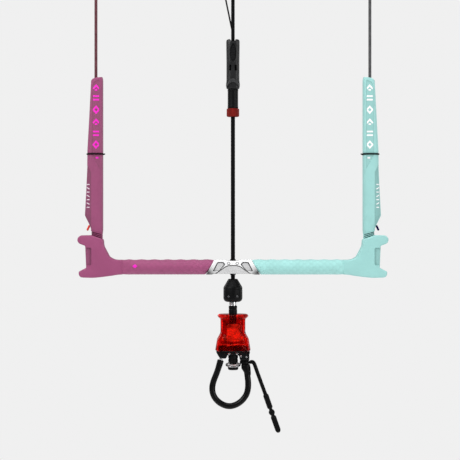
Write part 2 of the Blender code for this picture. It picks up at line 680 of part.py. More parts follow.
def make_loop(skin):
    path = loop_path()
    end = path[0]
    radii = [LOOP_R + 0.8 * max(0.0, 1 - (p - end).length / 12.0) ** 0.3 for p in path]
    tube = swept("loop_tube", path, radii, skin["loop"])
    profile = [(0, -149.7), (3.4, -149.4), (3.4, -148.6), (1.9, -147.8), (1.9, -141.6)]
    profile += [(1.2, -140.8), (0, -140.6)]
    pin = turned("loop_catch_pin", profile, skin["metal"], at=(CATCH_X, 0, 0))
    outline = [(16.9, -147.9), (14.6, -149.6), (14.6, -151.0), (23.6, -151.0), (26.4, -148.4)]
    outline += [(26.6, -143.0), (24.9, -139.9), (21.7, -138.6), (18.5, -139.9), (16.9, -143.0)]
    tongue = extruded("loop_arm", outline, -6.3, 6.3, skin["shell"], bevel=0.8, segments=1)
    sections = [(-150.0, 13.4, 24.4, 5.5), (-159.0, 13.4, 24.4, 5.5), (-160.2, 12.3, 26.8, 7.4)]
    sections += [(-164.0, 12.3, 27.2, 7.6), (-168.0, 14.8, 27.7, 7.0), (-171.2, 16.6, 27.4, 6.4)]
    sleeve = lofted("add_arm_sleeve", sections[::-1], skin["shell"], count=20, power=2.2)
    join(tongue, sleeve)
    pin_spot = (LOOP_PIN_X, LOOP_PIN_Z)
    cut(tongue, bored("cut_arm_pin", 2.2, -8.0, 8.0, skin["shell"], at=pin_spot, along="Y"))
    return [tube, pin, tongue]


def make_finger(skin):
    """The locking finger hangs from a collar that turns on the loop's arm."""
    profile = [(5.9, -155.6), (7.9, -155.6), (7.9, -151.4), (5.9, -151.4)]
    collar = turned("finger_collar", profile, skin["finger"], at=(ARM_X, 0, 0))
    route = [(27.8, -153.3), (29.6, -152.8), (31.6, -152.8), (33.6, -154.6), (35.4, -158.4), (40.6, -173.0)]
    route += [(46.3, -188.6), FINGER_GRIP_TOP]
    path = smooth_path([(x, 0, z) for x, z in route], 15)
    radii = [min(2.9, 1.8 + 0.3 * i) for i in range(len(path))]
    lean = math.radians(FINGER_LEAN)
    down = Vector((math.sin(lean), 0, -math.cos(lean)))
    top = path[-1]
    for radius, distance in grip_profile():
        path.append(top + down * distance)
        radii.append(radius)
    finger = swept("locking_finger", path, radii, skin["finger"])
    return [collar, finger]


def grip_profile():
    """Radius and distance down the finger's grip: two barrels with a bead between them."""
    upper = [(4.2, 2.2), (4.25, 22.0), (2.6, 25.2)]
    bead = [(2.9, 27.4), (4.6, 30.6), (4.6, 32.2), (2.7, 35.4)]
    lower = [(2.6, 36.6), (4.1, 38.6), (4.25, 60.0), (3.1, 64.6), (1.4, 65.8)]
    return upper + bead + lower


def skins():
    return {
        "grip_left": finish("mauve_eva", (0.357, 0.093, 0.195), 0.62),
        "grip_right": finish("turquoise_eva", (0.366, 0.686, 0.658), 0.62),
        "float_left": finish("mauve_foam", (0.357, 0.093, 0.195), 0.7),
        "float_right": finish("turquoise_foam", (0.366, 0.686, 0.658), 0.7),
        "leader_left": finish("brown_leader", (0.17, 0.065, 0.078), 0.75),
        "leader_right": finish("grey_leader", (0.127, 0.127, 0.127), 0.75),
        "tab_left": finish("red_cord", (0.93, 0.08, 0.058), 0.7),
        "tab_right": finish("navy_cord", (0.012, 0.005, 0.07), 0.7),
        "line": finish("black_rope", (0.012, 0.012, 0.013), 0.6),
        "shell": finish("black_plastic", (0.014, 0.015, 0.016), 0.42),
        "loop": finish("black_rubber", (0.016, 0.016, 0.016), 0.5),
        "finger": finish("black_urethane", (0.014, 0.014, 0.015), 0.48),
        "ring": finish("red_rubber", (0.22, 0.014, 0.01), 0.6),
        "insert": finish("white_plastic", (0.78, 0.78, 0.79), 0.38),
        "bush": finish("bush_plastic", (0.02, 0.02, 0.02), 0.3),
        "tube": finish("alloy", (0.5, 0.5, 0.52), 0.35, 1.0),
        "metal": finish("stainless", (0.6, 0.6, 0.6), 0.25, 1.0),
        "handle": finish("red_urethane", (0.6, 0.012, 0.004), 0.2, 0.0, 0.6),
    }


def main():
    clear_scene()
    skin = skins()
    make_lines(skin)
    make_cleat(skin)
    make_swivel_head(skin)

    bush_axis = pivot("bar_steer_axis", 0, 0)
    bar = [make_bush(skin), *make_insert(skin)]
    for side, word in ((-1, "left"), (1, "right")):
        bar += [make_tube(skin, side, word), make_grip(skin, side, word), make_neck(skin, side, word)]
        bar += make_bar_end(skin, side, word)
        hinge = pivot(f"float_axis_{word}", side * HINGE_X, HINGE_Z)
        floats = [make_float(skin, side, word)]
        floats += make_leader(skin, side, word) + make_float_trim(skin, side, word)
        bpy.context.view_layer.update()
        carry(hinge, floats)
        bar.append(hinge)
    bpy.context.view_layer.update()
    carry(bush_axis, bar)

    unit_axis = pivot("release_spin_axis", 0, -60)
    post, ring = make_leash_post(skin)
    unit = make_shaft(skin) + make_release_body(skin) + post
    unit += [ring, make_spring(skin), make_handle(skin)]
    loop_axis = pivot("loop_axis", LOOP_PIN_X, LOOP_PIN_Z)
    finger_axis = pivot("finger_axis", ARM_X, -156)
    bpy.context.view_layer.update()
    carry(finger_axis, make_finger(skin))
    bpy.context.view_layer.update()
    carry(loop_axis, [*make_loop(skin), finger_axis])
    bpy.context.view_layer.update()
    carry(unit_axis, [*unit, loop_axis])


main()
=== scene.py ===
"""Looks of a kite control bar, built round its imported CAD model.

Shapes are drawn in millimetres, with heights measured from the bar's axis; shaped() takes them
into the frame, which is in metres. X runs along the bar and the front faces -Y. Pieces made for
the right side are turned over for the left by a side of -1.
"""

import math

import bmesh
import bpy
import numpy as np
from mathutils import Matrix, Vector


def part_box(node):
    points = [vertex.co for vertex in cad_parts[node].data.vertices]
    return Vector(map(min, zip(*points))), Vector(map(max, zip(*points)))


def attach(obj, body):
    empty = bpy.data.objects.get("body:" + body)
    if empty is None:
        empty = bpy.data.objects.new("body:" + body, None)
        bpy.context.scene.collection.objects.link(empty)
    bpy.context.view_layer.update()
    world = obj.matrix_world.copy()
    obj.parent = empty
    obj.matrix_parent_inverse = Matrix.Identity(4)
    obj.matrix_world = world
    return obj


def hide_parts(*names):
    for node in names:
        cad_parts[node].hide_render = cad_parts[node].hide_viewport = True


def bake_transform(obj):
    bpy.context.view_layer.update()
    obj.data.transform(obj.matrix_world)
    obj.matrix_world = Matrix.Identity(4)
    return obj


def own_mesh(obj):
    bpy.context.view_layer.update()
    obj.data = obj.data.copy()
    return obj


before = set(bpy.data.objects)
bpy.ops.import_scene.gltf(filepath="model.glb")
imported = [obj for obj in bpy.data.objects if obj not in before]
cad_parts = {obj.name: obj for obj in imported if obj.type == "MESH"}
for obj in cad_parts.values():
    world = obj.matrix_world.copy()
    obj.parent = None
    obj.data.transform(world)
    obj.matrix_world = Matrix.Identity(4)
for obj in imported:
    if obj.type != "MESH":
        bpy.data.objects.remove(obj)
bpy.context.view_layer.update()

MM = 0.001
SIDES = ((-1, "left"), (1, "right"))
HUE = {"left": "mauve", "right": "turquoise"}


def middle_of(node):
    low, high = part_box(node)
    return (low + high) / 2


def size_of(node):
    low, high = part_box(node)
    return (high - low) / MM


BAR_Z = middle_of("bar_tube_left").z  # the bar's axis in the frame
GRIP_R = size_of("grip_left").z / 2
LINE_R = 3.3
TRIM_R, SAFETY_R = 2.95, 1.35
TRIM_Y, SAFETY_Y = -0.6, 4.2
LEADER_X = middle_of("leader_left").x / -MM
LEADER_R = 2.45
BUNGEE_Z = (middle_of("bungee_left").z - BAR_Z) / MM
POST_X = middle_of("leash_post").x / MM
RING_Z = (middle_of("leash_ring").z - BAR_Z) / MM
CATCH_X = middle_of("loop_catch_pin").x / MM
FINGER_TOP, FINGER_LEAN = (52.15, -204.4), 19.4
RING_TILT = 0.2
TUBE_BORE = 8.3  # radius of the bores round the bar's tube
INSERT_BOLT_X = 14.7
INSERT_CAP = (6.9, 6.0)
HINGE_PIN = (21.7, -143.9)
LEADER_BORE = LEADER_R + 0.3
TURN = math.tau
UP = (0, 0, 1)


# ---------------------------------------------------------------- shapes


def smoothed(data, sharp):
    """Shades a mesh smoothly, apart from the edges that bend more than this."""
    data.shade_smooth()
    data.set_sharp_from_angle(angle=math.radians(sharp))


def round_angles(count):
    return np.linspace(0, TURN, count, endpoint=False)


def shaped(name, points, faces, paint, sharp=38.0):
    """An object of these points, in millimetres above the bar's axis."""
    points = np.asarray(points, float).reshape(-1, 3) * MM + (0, 0, BAR_Z)
    data = bpy.data.meshes.new(name)
    data.from_pydata(points.tolist(), [], faces)
    mesh = bmesh.new()
    mesh.from_mesh(data)
    bmesh.ops.recalc_face_normals(mesh, faces=mesh.faces)
    mesh.to_mesh(data)
    mesh.free()
    data.materials.append(paint)
    smoothed(data, sharp)
    made = bpy.data.objects.new(name, data)
    bpy.context.collection.objects.link(made)
    return made


def skinned(name, rings, paint, looped=False, sharp=38.0):
    """Quads between rings of points. Open ends get a cap, and looped joins the last ring to the
    first."""
    rings = np.asarray(rings, float)
    count, sides = rings.shape[:2]
    here = np.arange(sides)
    there = (here + 1) % sides
    faces = []
    for i in range(count if looped else count - 1):
        low, high = i * sides, (i + 1) % count * sides
        quads = np.stack([low + here, low + there, high + there, high + here], axis=1)
        faces.extend(quads.tolist())
    if not looped:
        faces.append(here[::-1].tolist())
        faces.append((here + (count - 1) * sides).tolist())
    return shaped(name, rings, faces, paint, sharp)


def softened(points, radius, steps=4, closed=True):
    """An outline with each corner rounded off, by at most the radius along both its edges."""
    points = [Vector(p) for p in points]
    out = []
    for i, p in enumerate(points):
        if not closed and i in (0, len(points) - 1):
            out.append(tuple(p))
            continue
        before, after = points[i - 1], points[(i + 1) % len(points)]
        reach = min(radius, (before - p).length * 0.48, (after - p).length * 0.48)
        a = p + (before - p).normalized() * reach
        b = p + (after - p).normalized() * reach
        for k in range(steps + 1):
            t = k / steps
            out.append(tuple(a * (1 - t) ** 2 + p * 2 * t * (1 - t) + b * t**2))
    return out


def arc(radius, start, end, steps, centre=(0.0, 0.0)):
    """Points on an arc, with angles in degrees anticlockwise from +X."""
    angles = np.radians(np.linspace(start, end, steps))
    return [(centre[0] + radius * math.cos(a), centre[1] + radius * math.sin(a)) for a in angles]


def squircle(half_x, half_y, count, power):
    a = round_angles(count)
    c, s = np.cos(a), np.sin(a)
    x = np.sign(c) * np.abs(c) ** (2 / power) * half_x
    y = np.sign(s) * np.abs(s) ** (2 / power) * half_y
    return np.stack([x, y], axis=1)


def turned(name, profile, paint, at=(0, 0, 0), along="Z", steps=48, soft=0.0):
    """A solid turned about an axis. The profile is a closed outline of (radius, height) points,
    which has no bore where it starts and ends at radius 0."""
    solid = profile[0][0] == 0
    if soft:
        profile = softened(profile, soft, 3, closed=not solid)
    if solid:
        profile = [(max(r, 0.02), z) for r, z in profile]
    a = round_angles(steps)
    r, z = np.array(profile, float).T
    ring = np.stack([np.cos(a), np.sin(a), np.zeros(steps)], axis=1)
    rings = r[:, None, None] * ring + z[:, None, None] * np.array([0.0, 0.0, 1.0])
    if along == "X":
        rings = rings[..., [2, 1, 0]] * (1, 1, -1)
    if along == "Y":
        rings = rings[..., [0, 2, 1]] * (1, 1, -1)
    return skinned(name, rings + np.array(at, float), paint, looped=not solid)


def inset_polygon(points, amount):
    """The polygon with each edge moved inwards; it runs anticlockwise in (x, z)."""
    p = np.asarray(points, float)
    edge = np.roll(p, -1, axis=0) - p
    edge /= np.linalg.norm(edge, axis=1)[:, None] + 1e-9
    after = np.stack([-edge[:, 1], edge[:, 0]], axis=1)
    before = np.roll(after, 1, axis=0)
    corner = 1 + (before * after).sum(axis=1)
    return p + (before + after) * (amount / np.maximum(corner, 0.3))[:, None]


def anticlockwise(points):
    p = np.asarray(points, float)
    x, z = p.T
    area = (x * np.roll(z, -1) - np.roll(x, -1) * z).sum()
    return p if area > 0 else p[::-1]


def oblong(low_x, low_z, high_x, high_z):
    return [(low_x, low_z), (high_x, low_z), (high_x, high_z), (low_x, high_z)]


def sided(points, side):
    """Points in (x, z) of the right side, taken to the given side."""
    return [(side * x, z) for x, z in points]


def slab(name, outline, front, back, paint, soft=0.0, rim=0.0, back_rim=None, steps=5):
    """A polygon in (x, z) drawn out along Y, with soft corners and with its front and back edges
    rounded."""
    outline = anticlockwise(outline)
    back_rim = rim if back_rim is None else back_rim
    stack = []
    for edge, face, way in ((rim, front, 1), (back_rim, back, -1)):
        part = [(0.0, face)]
        if edge:
            a = np.linspace(0, math.pi / 2, steps)
            part = [(edge * (1 - math.sin(t)), face + way * edge * (1 - math.cos(t))) for t in a]
        stack += part if way > 0 else part[::-1]
    rings = []
    for amount, y in stack:
        points = inset_polygon(outline, amount)
        if soft:
            points = softened(points, max(0.15, soft - amount))
        x, z = np.asarray(points).T
        rings.append(np.stack([x, np.full(len(x), y), z], axis=1))
    return skinned(name, rings, paint)


def level_loft(name, sections, paint, count=48, power=3.0, fine=1):
    """A solid through sections, each (height, low x, high x, half depth[, tilt])."""
    sections = np.array([(*s, 0.0)[:5] for s in sections], float)
    if fine > 1:
        t = np.linspace(0, len(sections) - 1, (len(sections) - 1) * fine + 1)
        sections = np.stack([np.interp(t, range(len(sections)), c) for c in sections.T], axis=1)
    rings = []
    for z, x0, x1, depth, tilt in sections:
        x, y = squircle((x1 - x0) / 2, depth, count, power).T
        rings.append(np.column_stack([x + (x0 + x1) / 2, y, z + tilt * x]))
    return skinned(name, rings, paint)


def even_sections(sections):
    """Sections for level_loft from (height, half width, half depth)."""
    return [(z, -x, x, y) for z, x, y in sections]


def smooth_path(knots, count):
    """Evenly spaced points of one smooth curve through the knots."""
    k = np.asarray(knots, float)
    k = np.vstack([2 * k[0] - k[1], k, 2 * k[-1] - k[-2]])
    spans = len(k) - 3
    out = []
    for place in np.linspace(0, spans, 24 * spans + 1):
        i = min(int(place), spans - 1)
        t = place - i
        a, b, c, d = k[i : i + 4]
        bend = 2 * a - 5 * b + 4 * c - d
        out.append(0.5 * (2 * b + (c - a) * t + bend * t**2 + (3 * b - a - 3 * c + d) * t**3))
    return even_path(np.array(out), count)


def run_of(path):
    """How far along the path each of its points is."""
    return np.concatenate([[0], np.cumsum(np.linalg.norm(np.diff(path, axis=0), axis=1))])


def even_path(points, count):
    points = np.asarray(points, float)
    run = run_of(points)
    at = np.linspace(0, run[-1], count)
    return np.stack([np.interp(at, run, c) for c in points.T], axis=1)


def swept(name, path, radius, paint, sides=28, closed=False, across=(0, 1, 0), sharp=38.0):
    """A bar along a path. The radius is a number, one for each point, or one for each point and
    side. Across is a direction that the path never runs along."""
    path = np.asarray(path, float)
    count = len(path)
    if closed:
        tangent = np.roll(path, -1, axis=0) - np.roll(path, 1, axis=0)
    else:
        tangent = np.gradient(path, axis=0)
    tangent /= np.linalg.norm(tangent, axis=1)[:, None]
    aside = np.cross(np.array(across, float), tangent)
    aside /= np.linalg.norm(aside, axis=1)[:, None]
    over = np.cross(tangent, aside)
    a = round_angles(sides)[None, :, None]
    radius = np.asarray(radius, float)
    if radius.ndim == 1:
        radius = radius[:, None]
    radius = np.broadcast_to(radius, (count, sides))
    ring = np.cos(a) * aside[:, None, :] + np.sin(a) * over[:, None, :]
    rings = path[:, None, :] + ring * radius[..., None]
    return skinned(name, rings, paint, looped=closed, sharp=sharp)


def braid(run, sides, strands, pitch, depth):
    """How far each point of a braided cover stands above its grooves: two families of strands
    wind opposite ways and pass over and under each other."""
    a = round_angles(sides)[None, :] * strands / 2
    s = np.asarray(run)[:, None] * TURN / pitch / 2
    one, two = np.cos(a + s), np.cos(a - s)
    over = one * two
    high = np.maximum(
        np.abs(one) ** 0.6 * (0.75 + 0.25 * over),
        np.abs(two) ** 0.6 * (0.75 - 0.25 * over),
    )
    return depth * (high - 0.75)


def braided(name, path, radius, paint, strands=8, sides=32, depth=0.32, closed=False, **where):
    """A braided rope along an evenly spaced path."""
    run = run_of(path)
    width = TURN * float(np.mean(radius)) / strands
    pitch = 2 * width
    if closed:
        whole = run[-1] + np.linalg.norm(path[0] - path[-1])
        pitch = whole / max(2, 2 * round(whole / pitch / 2))
    radius = np.broadcast_to(np.asarray(radius, float), len(path))[:, None]
    skin = radius + braid(run, sides, strands, pitch, depth)
    return swept(name, path, skin, paint, sides=sides, closed=closed, sharp=80.0, **where)


def final_mesh(piece):
    """Takes a piece's modifiers into its mesh."""
    bpy.context.view_layer.update()
    shown = piece.evaluated_get(bpy.context.evaluated_depsgraph_get())
    made = bpy.data.meshes.new_from_object(shown)
    piece.modifiers.clear()
    piece.data = made


def combined(piece, tools, operation, sharp=38.0, edge=0.0):
    """The piece with the tools cut from it or joined to it. A cut's faces keep the tool's paint.
    Edge rounds what is still sharp."""
    for tool in tools:
        step = piece.modifiers.new(tool.name, "BOOLEAN")
        step.operation = operation
        step.solver = "EXACT"
        step.material_mode = "TRANSFER"
        step.object = tool
    final_mesh(piece)
    for tool in tools:
        bpy.data.objects.remove(tool)
    if edge:
        step = piece.modifiers.new("edge", "BEVEL")
        step.width = edge * MM
        step.segments = 2
        step.limit_method = "ANGLE"
        step.angle_limit = math.radians(40)
        final_mesh(piece)
    mesh = bmesh.new()
    mesh.from_mesh(piece.data)
    bmesh.ops.remove_doubles(mesh, verts=mesh.verts, dist=0.002 * MM)
    bmesh.ops.dissolve_degenerate(mesh, edges=mesh.edges, dist=0.001 * MM)
    mesh.to_mesh(piece.data)
    mesh.free()
    smoothed(piece.data, sharp)
    return piece


def carve(piece, *tools, **finish):
    return combined(piece, tools, "DIFFERENCE", **finish)


def fuse(piece, *tools, **finish):
    return combined(piece, tools, "UNION", **finish)


def drill(radius, low, high, paint, at=(0, 0), along="Y", steps=32):
    """A round tool for a hole between two places on an axis."""
    spots = {"Z": (at[0], at[1], 0), "X": (0, at[0], at[1]), "Y": (at[0], 0, at[1])}
    profile = [(0, low), (radius, low), (radius, high), (0, high)]
    return turned("drill", profile, paint, at=spots[along], along=along, steps=steps)


def shaded(piece, values):
    """Says how dark each point is, for the paints that read the attribute shade."""
    shade = piece.data.attributes.new("shade", "FLOAT", "POINT")
    shade.data.foreach_set("value", np.asarray(values, np.float32))


def ellipse(centre, half_x, half_z, count=40):
    a = round_angles(count)
    return [(centre[0] + half_x * math.cos(t), centre[1] + half_z * math.sin(t)) for t in a]


def fit(piece, body, slot, *nodes):
    """The piece rides on a body and stands for CAD nodes, which are hidden. The slot is not used.
    """
    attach(piece, body)
    if nodes:
        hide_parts(*nodes)


# ---------------------------------------------------------------- materials


class Paint:
    """A procedural material, whose nodes read the object's own coordinates."""

    def __init__(self, name, colour, metallic=0.0):
        self.made = bpy.data.materials.new(name)
        self.made.use_nodes = True
        self.tree = self.made.node_tree
        self.shader = self.tree.nodes["Principled BSDF"]
        self.colour = (*colour, 1.0)
        self.shader.inputs["Metallic"].default_value = metallic
        self.place = self.node("ShaderNodeTexCoord").outputs["Object"]
        self.tint = None  # every paint starts with mottled(), which sets it
        self.height = None
        self.gloss = None

    def node(self, kind, **values):
        made = self.tree.nodes.new(kind)
        for key, value in values.items():
            setattr(made, key, value)
        return made

    def link(self, source, target):
        self.tree.links.new(source, target)

    def stretched(self, scale):
        mapping = self.node("ShaderNodeMapping")
        mapping.inputs["Scale"].default_value = scale
        self.link(self.place, mapping.inputs["Vector"])
        return mapping.outputs["Vector"]

    def noise(self, scale, detail=3.0, stretch=None):
        made = self.node("ShaderNodeTexNoise")
        made.inputs["Scale"].default_value = scale
        made.inputs["Detail"].default_value = detail
        made.inputs["Roughness"].default_value = 0.55
        self.link(self.stretched(stretch) if stretch else self.place, made.inputs["Vector"])
        return made.outputs["Fac"]

    def cells(self, scale):
        made = self.node("ShaderNodeTexVoronoi", feature="F1")
        made.inputs["Scale"].default_value = scale
        self.link(self.place, made.inputs["Vector"])
        return made.outputs["Distance"]

    def ramp(self, value, low, high, to_low=0.0, to_high=1.0):
        made = self.node("ShaderNodeMapRange")
        made.inputs["From Min"].default_value = low
        made.inputs["From Max"].default_value = high
        made.inputs["To Min"].default_value = to_low
        made.inputs["To Max"].default_value = to_high
        self.link(value, made.inputs["Value"])
        return made.outputs["Result"]

    def tinted(self, value, colour):
        """Where the value is 1, the paint has this colour."""
        mix = self.node("ShaderNodeMix", data_type="RGBA")
        self.link(value, mix.inputs["Factor"])
        self.link(self.tint, mix.inputs[6])
        mix.inputs[7].default_value = (*colour, 1.0)
        self.tint = mix.outputs[2]

    def mottled(self, scale, darker, lighter=1.0, detail=4.0, low=0.3, high=0.7):
        """Patches of the paint's own colour, made darker or lighter."""
        value = self.ramp(self.noise(scale, detail), low, high)
        shade = tuple(min(1.0, c * darker) for c in self.colour[:3])
        bright = tuple(min(1.0, c * lighter) for c in self.colour[:3])
        mix = self.node("ShaderNodeMix", data_type="RGBA")
        self.link(value, mix.inputs["Factor"])
        mix.inputs[6].default_value = (*shade, 1.0)
        mix.inputs[7].default_value = (*bright, 1.0)
        self.tint = mix.outputs[2]

    def grained(self, value, depth):
        """Adds a bump of this depth in millimetres."""
        bump = self.node("ShaderNodeBump")
        bump.inputs["Distance"].default_value = depth * MM
        self.link(value, bump.inputs["Height"])
        if self.height is not None:
            self.link(self.height, bump.inputs["Normal"])
        self.height = bump.outputs["Normal"]

    def glossed(self, value, low, high):
        """Roughness from low to high, as the value goes from 0 to 1."""
        self.gloss = self.ramp(value, 0.3, 0.7, low, high)

    def worn(self, colour, amount):
        """A lighter tone along edges that stick out."""
        edges = self.node("ShaderNodeNewGeometry").outputs["Pointiness"]
        ragged = self.ramp(self.noise(420, 3.0), 0.35, 0.65)
        self.tinted(self.times(self.ramp(edges, 0.52, 0.62, 0.0, amount), ragged), colour)

    def hollow_shade(self, colour, low=0.40, high=0.49):
        """Painted shade: a darker tone in grooves and hollows, found from the mesh's pointiness."""
        depth = self.node("ShaderNodeNewGeometry").outputs["Pointiness"]
        self.tinted(self.ramp(depth, low, high, 1.0, 0.0), colour)

    def along(self, axis, low, high):
        """Goes from 0 to 1 between two places on an axis, in millimetres."""
        split = self.node("ShaderNodeSeparateXYZ")
        self.link(self.place, split.inputs[0])
        value = split.outputs[axis]
        if axis == "X":
            both = self.node("ShaderNodeMath", operation="ABSOLUTE")
            self.link(value, both.inputs[0])
            value = both.outputs[0]
        base = BAR_Z if axis == "Z" else 0.0
        return self.ramp(value, base + low * MM, base + high * MM)

    def times(self, one, two):
        made = self.node("ShaderNodeMath", operation="MULTIPLY")
        self.link(one, made.inputs[0])
        self.link(two, made.inputs[1])
        return made.outputs[0]

    def marked(self, attribute, colour):
        """This colour where a mesh attribute is 1."""
        value = self.node("ShaderNodeAttribute", attribute_name=attribute).outputs["Fac"]
        self.tinted(value, colour)

    def set(self, **sockets):
        for name, value in sockets.items():
            self.shader.inputs[name.replace("_", " ")].default_value = value

    def done(self):
        self.link(self.tint, self.shader.inputs["Base Color"])
        if self.gloss is not None:
            self.link(self.gloss, self.shader.inputs["Roughness"])
        if self.height is not None:
            self.link(self.height, self.shader.inputs["Normal"])
        self.made.diffuse_color = self.colour
        return self.made


MAUVE = (0.303, 0.061, 0.158)
MAUVE_DARK = (0.235, 0.052, 0.128)
TURQUOISE = (0.340, 0.648, 0.622)
TURQUOISE_DARK = (0.300, 0.560, 0.535)
FOAM_MAUVE_DARK = (0.200, 0.048, 0.105)
FOAM_TURQUOISE_DARK = (0.215, 0.430, 0.412)
BLACK = (0.0032, 0.0033, 0.0036)
GREY_WORN = (0.050, 0.052, 0.055)


def rope_paint(name, colour, fleck, lighter=1.9, shine=0.05):
    paint = Paint(name, colour)
    paint.mottled(260, 0.75, lighter, detail=5)
    threads = paint.noise(2600, 2.0, stretch=(1, 1, 0.35))
    paint.tinted(paint.ramp(threads, 0.62, 0.78, 0.0, 0.5), fleck)
    paint.grained(threads, 0.09)
    paint.glossed(paint.noise(900), 0.62, 0.84)
    paint.set(Specular_IOR_Level=shine)
    return paint.done()


def shell_paint(name, colour=BLACK, low=0.34, high=0.5, grain=0.035, worn=0.35, shine=0.1):
    """Moulded black plastic with a fine spark-eroded grain."""
    paint = Paint(name, colour)
    paint.mottled(70, 0.8, 1.35, detail=5)
    paint.grained(paint.cells(2300), grain)
    paint.grained(paint.noise(240, 4.0), 0.03)
    paint.glossed(paint.noise(130, 5.0), low, high)
    if worn:
        paint.worn(GREY_WORN, worn)
    paint.set(Specular_IOR_Level=shine)
    return paint.done()


def cleat_paint(name, colour, shine):
    """Satin plastic, grey over its face as a painted highlight and black round its sides as painted
    shade.
    """
    paint = Paint(name, colour)
    paint.mottled(70, 0.75, 1.4, detail=5)
    # Painted shade: black towards the sides.
    paint.tinted(paint.along("X", 8.3, 10.1), BLACK)
    paint.grained(paint.cells(2300), 0.02)
    paint.grained(paint.noise(240, 4.0), 0.03)
    paint.glossed(paint.noise(130, 5.0), 0.28, 0.42)
    paint.set(Specular_IOR_Level=shine)
    return paint.done()


def foam_paint(name, colour, dark, roughness=0.66):
    """Closed-cell foam: fine cells and a slight unevenness, darker where the attribute shade is
    set, which holds painted shade and the panels' tone.
    """
    paint = Paint(name, colour)
    paint.mottled(45, 0.93, 1.04, detail=6)
    paint.tinted(paint.ramp(paint.cells(1500), 0.0, 0.35, 0.28, 0.0), dark)
    paint.marked("shade", dark)
    paint.grained(paint.cells(1500), 0.07)
    paint.grained(paint.noise(320, 5.0), 0.05)
    paint.glossed(paint.noise(200, 4.0), roughness - 0.08, roughness + 0.1)
    paint.set(Sheen_Weight=0.12, Sheen_Roughness=0.6, Specular_IOR_Level=0.35)
    return paint.done()


def moulded_paint(name, colour, dark):
    """Soft-touch plastic of the bar ends, with painted shade in its hollows."""
    paint = Paint(name, colour)
    paint.mottled(38, 0.95, 1.03, detail=6)
    paint.marked("shade", dark)
    paint.hollow_shade(dark, 0.42, 0.485)
    paint.grained(paint.cells(2600), 0.025)
    paint.grained(paint.noise(180, 4.0), 0.04)
    paint.glossed(paint.noise(120, 5.0), 0.45, 0.6)
    paint.set(Specular_IOR_Level=0.4)
    return paint.done()


def neck_paint(name, colour, dark):
    paint = Paint(name, colour)
    paint.mottled(38, 0.95, 1.03, detail=6)
    # Painted shade: darker where the attribute shade is set, in the neck's grooves.
    paint.marked("shade", dark)
    paint.grained(paint.cells(2600), 0.025)
    paint.glossed(paint.noise(120, 5.0), 0.45, 0.6)
    paint.set(Specular_IOR_Level=0.35)
    return paint.done()


STEEL = (0.62, 0.62, 0.625)
BRUSHED_Z = (1, 1, 14)


def steel_paint(name, colour=STEEL, low=0.16, high=0.3, stretch=BRUSHED_Z, metal=1.0, groove=True):
    paint = Paint(name, colour, metallic=metal)
    paint.mottled(160, 0.84, 1.06, detail=4)
    brushed = paint.noise(1400, 3.0, stretch=stretch)
    paint.grained(brushed, 0.012)
    paint.glossed(brushed, low, high)
    if groove:
        # Painted shade in the steel's grooves and hollows.
        paint.hollow_shade((0.22, 0.22, 0.23), 0.40, 0.48)
    return paint.done()


def rubber_paint(name, colour, low, high, speck, shine):
    paint = Paint(name, colour)
    paint.mottled(120, 0.75, 1.5, detail=6)
    specks = paint.noise(1900, 2.0)
    paint.tinted(paint.ramp(specks, 0.66, 0.76, 0.0, 0.5), speck)
    paint.grained(specks, 0.045)
    paint.grained(paint.noise(300, 4.0), 0.06)
    paint.glossed(paint.noise(260, 5.0), low, high)
    paint.set(Specular_IOR_Level=shine)
    return paint.done()


def insert_paint(name, colour, dark, low=0.3, high=0.44):
    """White plastic, with painted shade in its hollows, on each foot and along its lower edge."""
    paint = Paint(name, colour)
    paint.mottled(60, 0.95, 1.03, detail=5)
    paint.hollow_shade(dark, 0.41, 0.485)
    # Painted shade on the lower outer corners, whose surface turns down away from the light, and
    # along the lower edge.
    foot_shade = paint.times(paint.along("Z", 5.5, -8.0), paint.along("X", 24.0, 39.0))
    paint.tinted(foot_shade, (0.04, 0.04, 0.042))
    paint.tinted(paint.ramp(paint.along("Z", -8.8, -10.4), 0, 1, 0, 0.55), (0.14, 0.14, 0.142))
    paint.grained(paint.cells(2600), 0.015)
    paint.grained(paint.noise(150, 4.0), 0.03)
    paint.glossed(paint.noise(110, 4.0), low, high)
    return paint.done()


def handle_paint(name, colour, clear):
    """Red see-through plastic over the black release block."""
    paint = Paint(name, colour)
    paint.mottled(95, 0.3, 1.15, detail=3, low=0.36, high=0.56)
    paint.grained(paint.noise(110, 4.0), 0.05)
    paint.glossed(paint.noise(90, 4.0), 0.05, 0.14)
    paint.set(Transmission_Weight=clear, IOR=1.18, Specular_Tint=(1.0, 0.2, 0.15, 1.0))
    return paint.done()


def print_paint(name, colour, back):
    """A printed mark, slightly worn."""
    paint = Paint(name, colour)
    paint.mottled(300, 0.92, 1.05, detail=4)
    paint.tinted(paint.ramp(paint.noise(1500, 2.0), 0.66, 0.74, 0.0, 0.35), back)
    paint.glossed(paint.noise(300), 0.42, 0.56)
    return paint.done()


def rope_paints():
    line, fleck = (0.0030, 0.0030, 0.0033), (0.012, 0.0122, 0.013)
    brown, grey = (0.120, 0.041, 0.051), (0.080, 0.080, 0.082)
    return {
        "rope": rope_paint("black_braid", line, fleck),
        "elastic": rope_paint("black_elastic", line, fleck),
        "leader_left": rope_paint("brown_braid", brown, (0.22, 0.11, 0.12), 1.3, 0.12),
        "leader_right": rope_paint("grey_braid", grey, (0.18, 0.18, 0.185), 1.3, 0.12),
        "tab_left": rope_paint("red_braid", (0.92, 0.075, 0.052), (1.0, 0.3, 0.24), 1.05),
        "tab_right": rope_paint("navy_braid", (0.007, 0.003, 0.055), (0.02, 0.01, 0.10), 1.2),
        "whipping": rope_paint("waxed_thread", (0.010, 0.010, 0.011), (0.05, 0.05, 0.05)),
    }


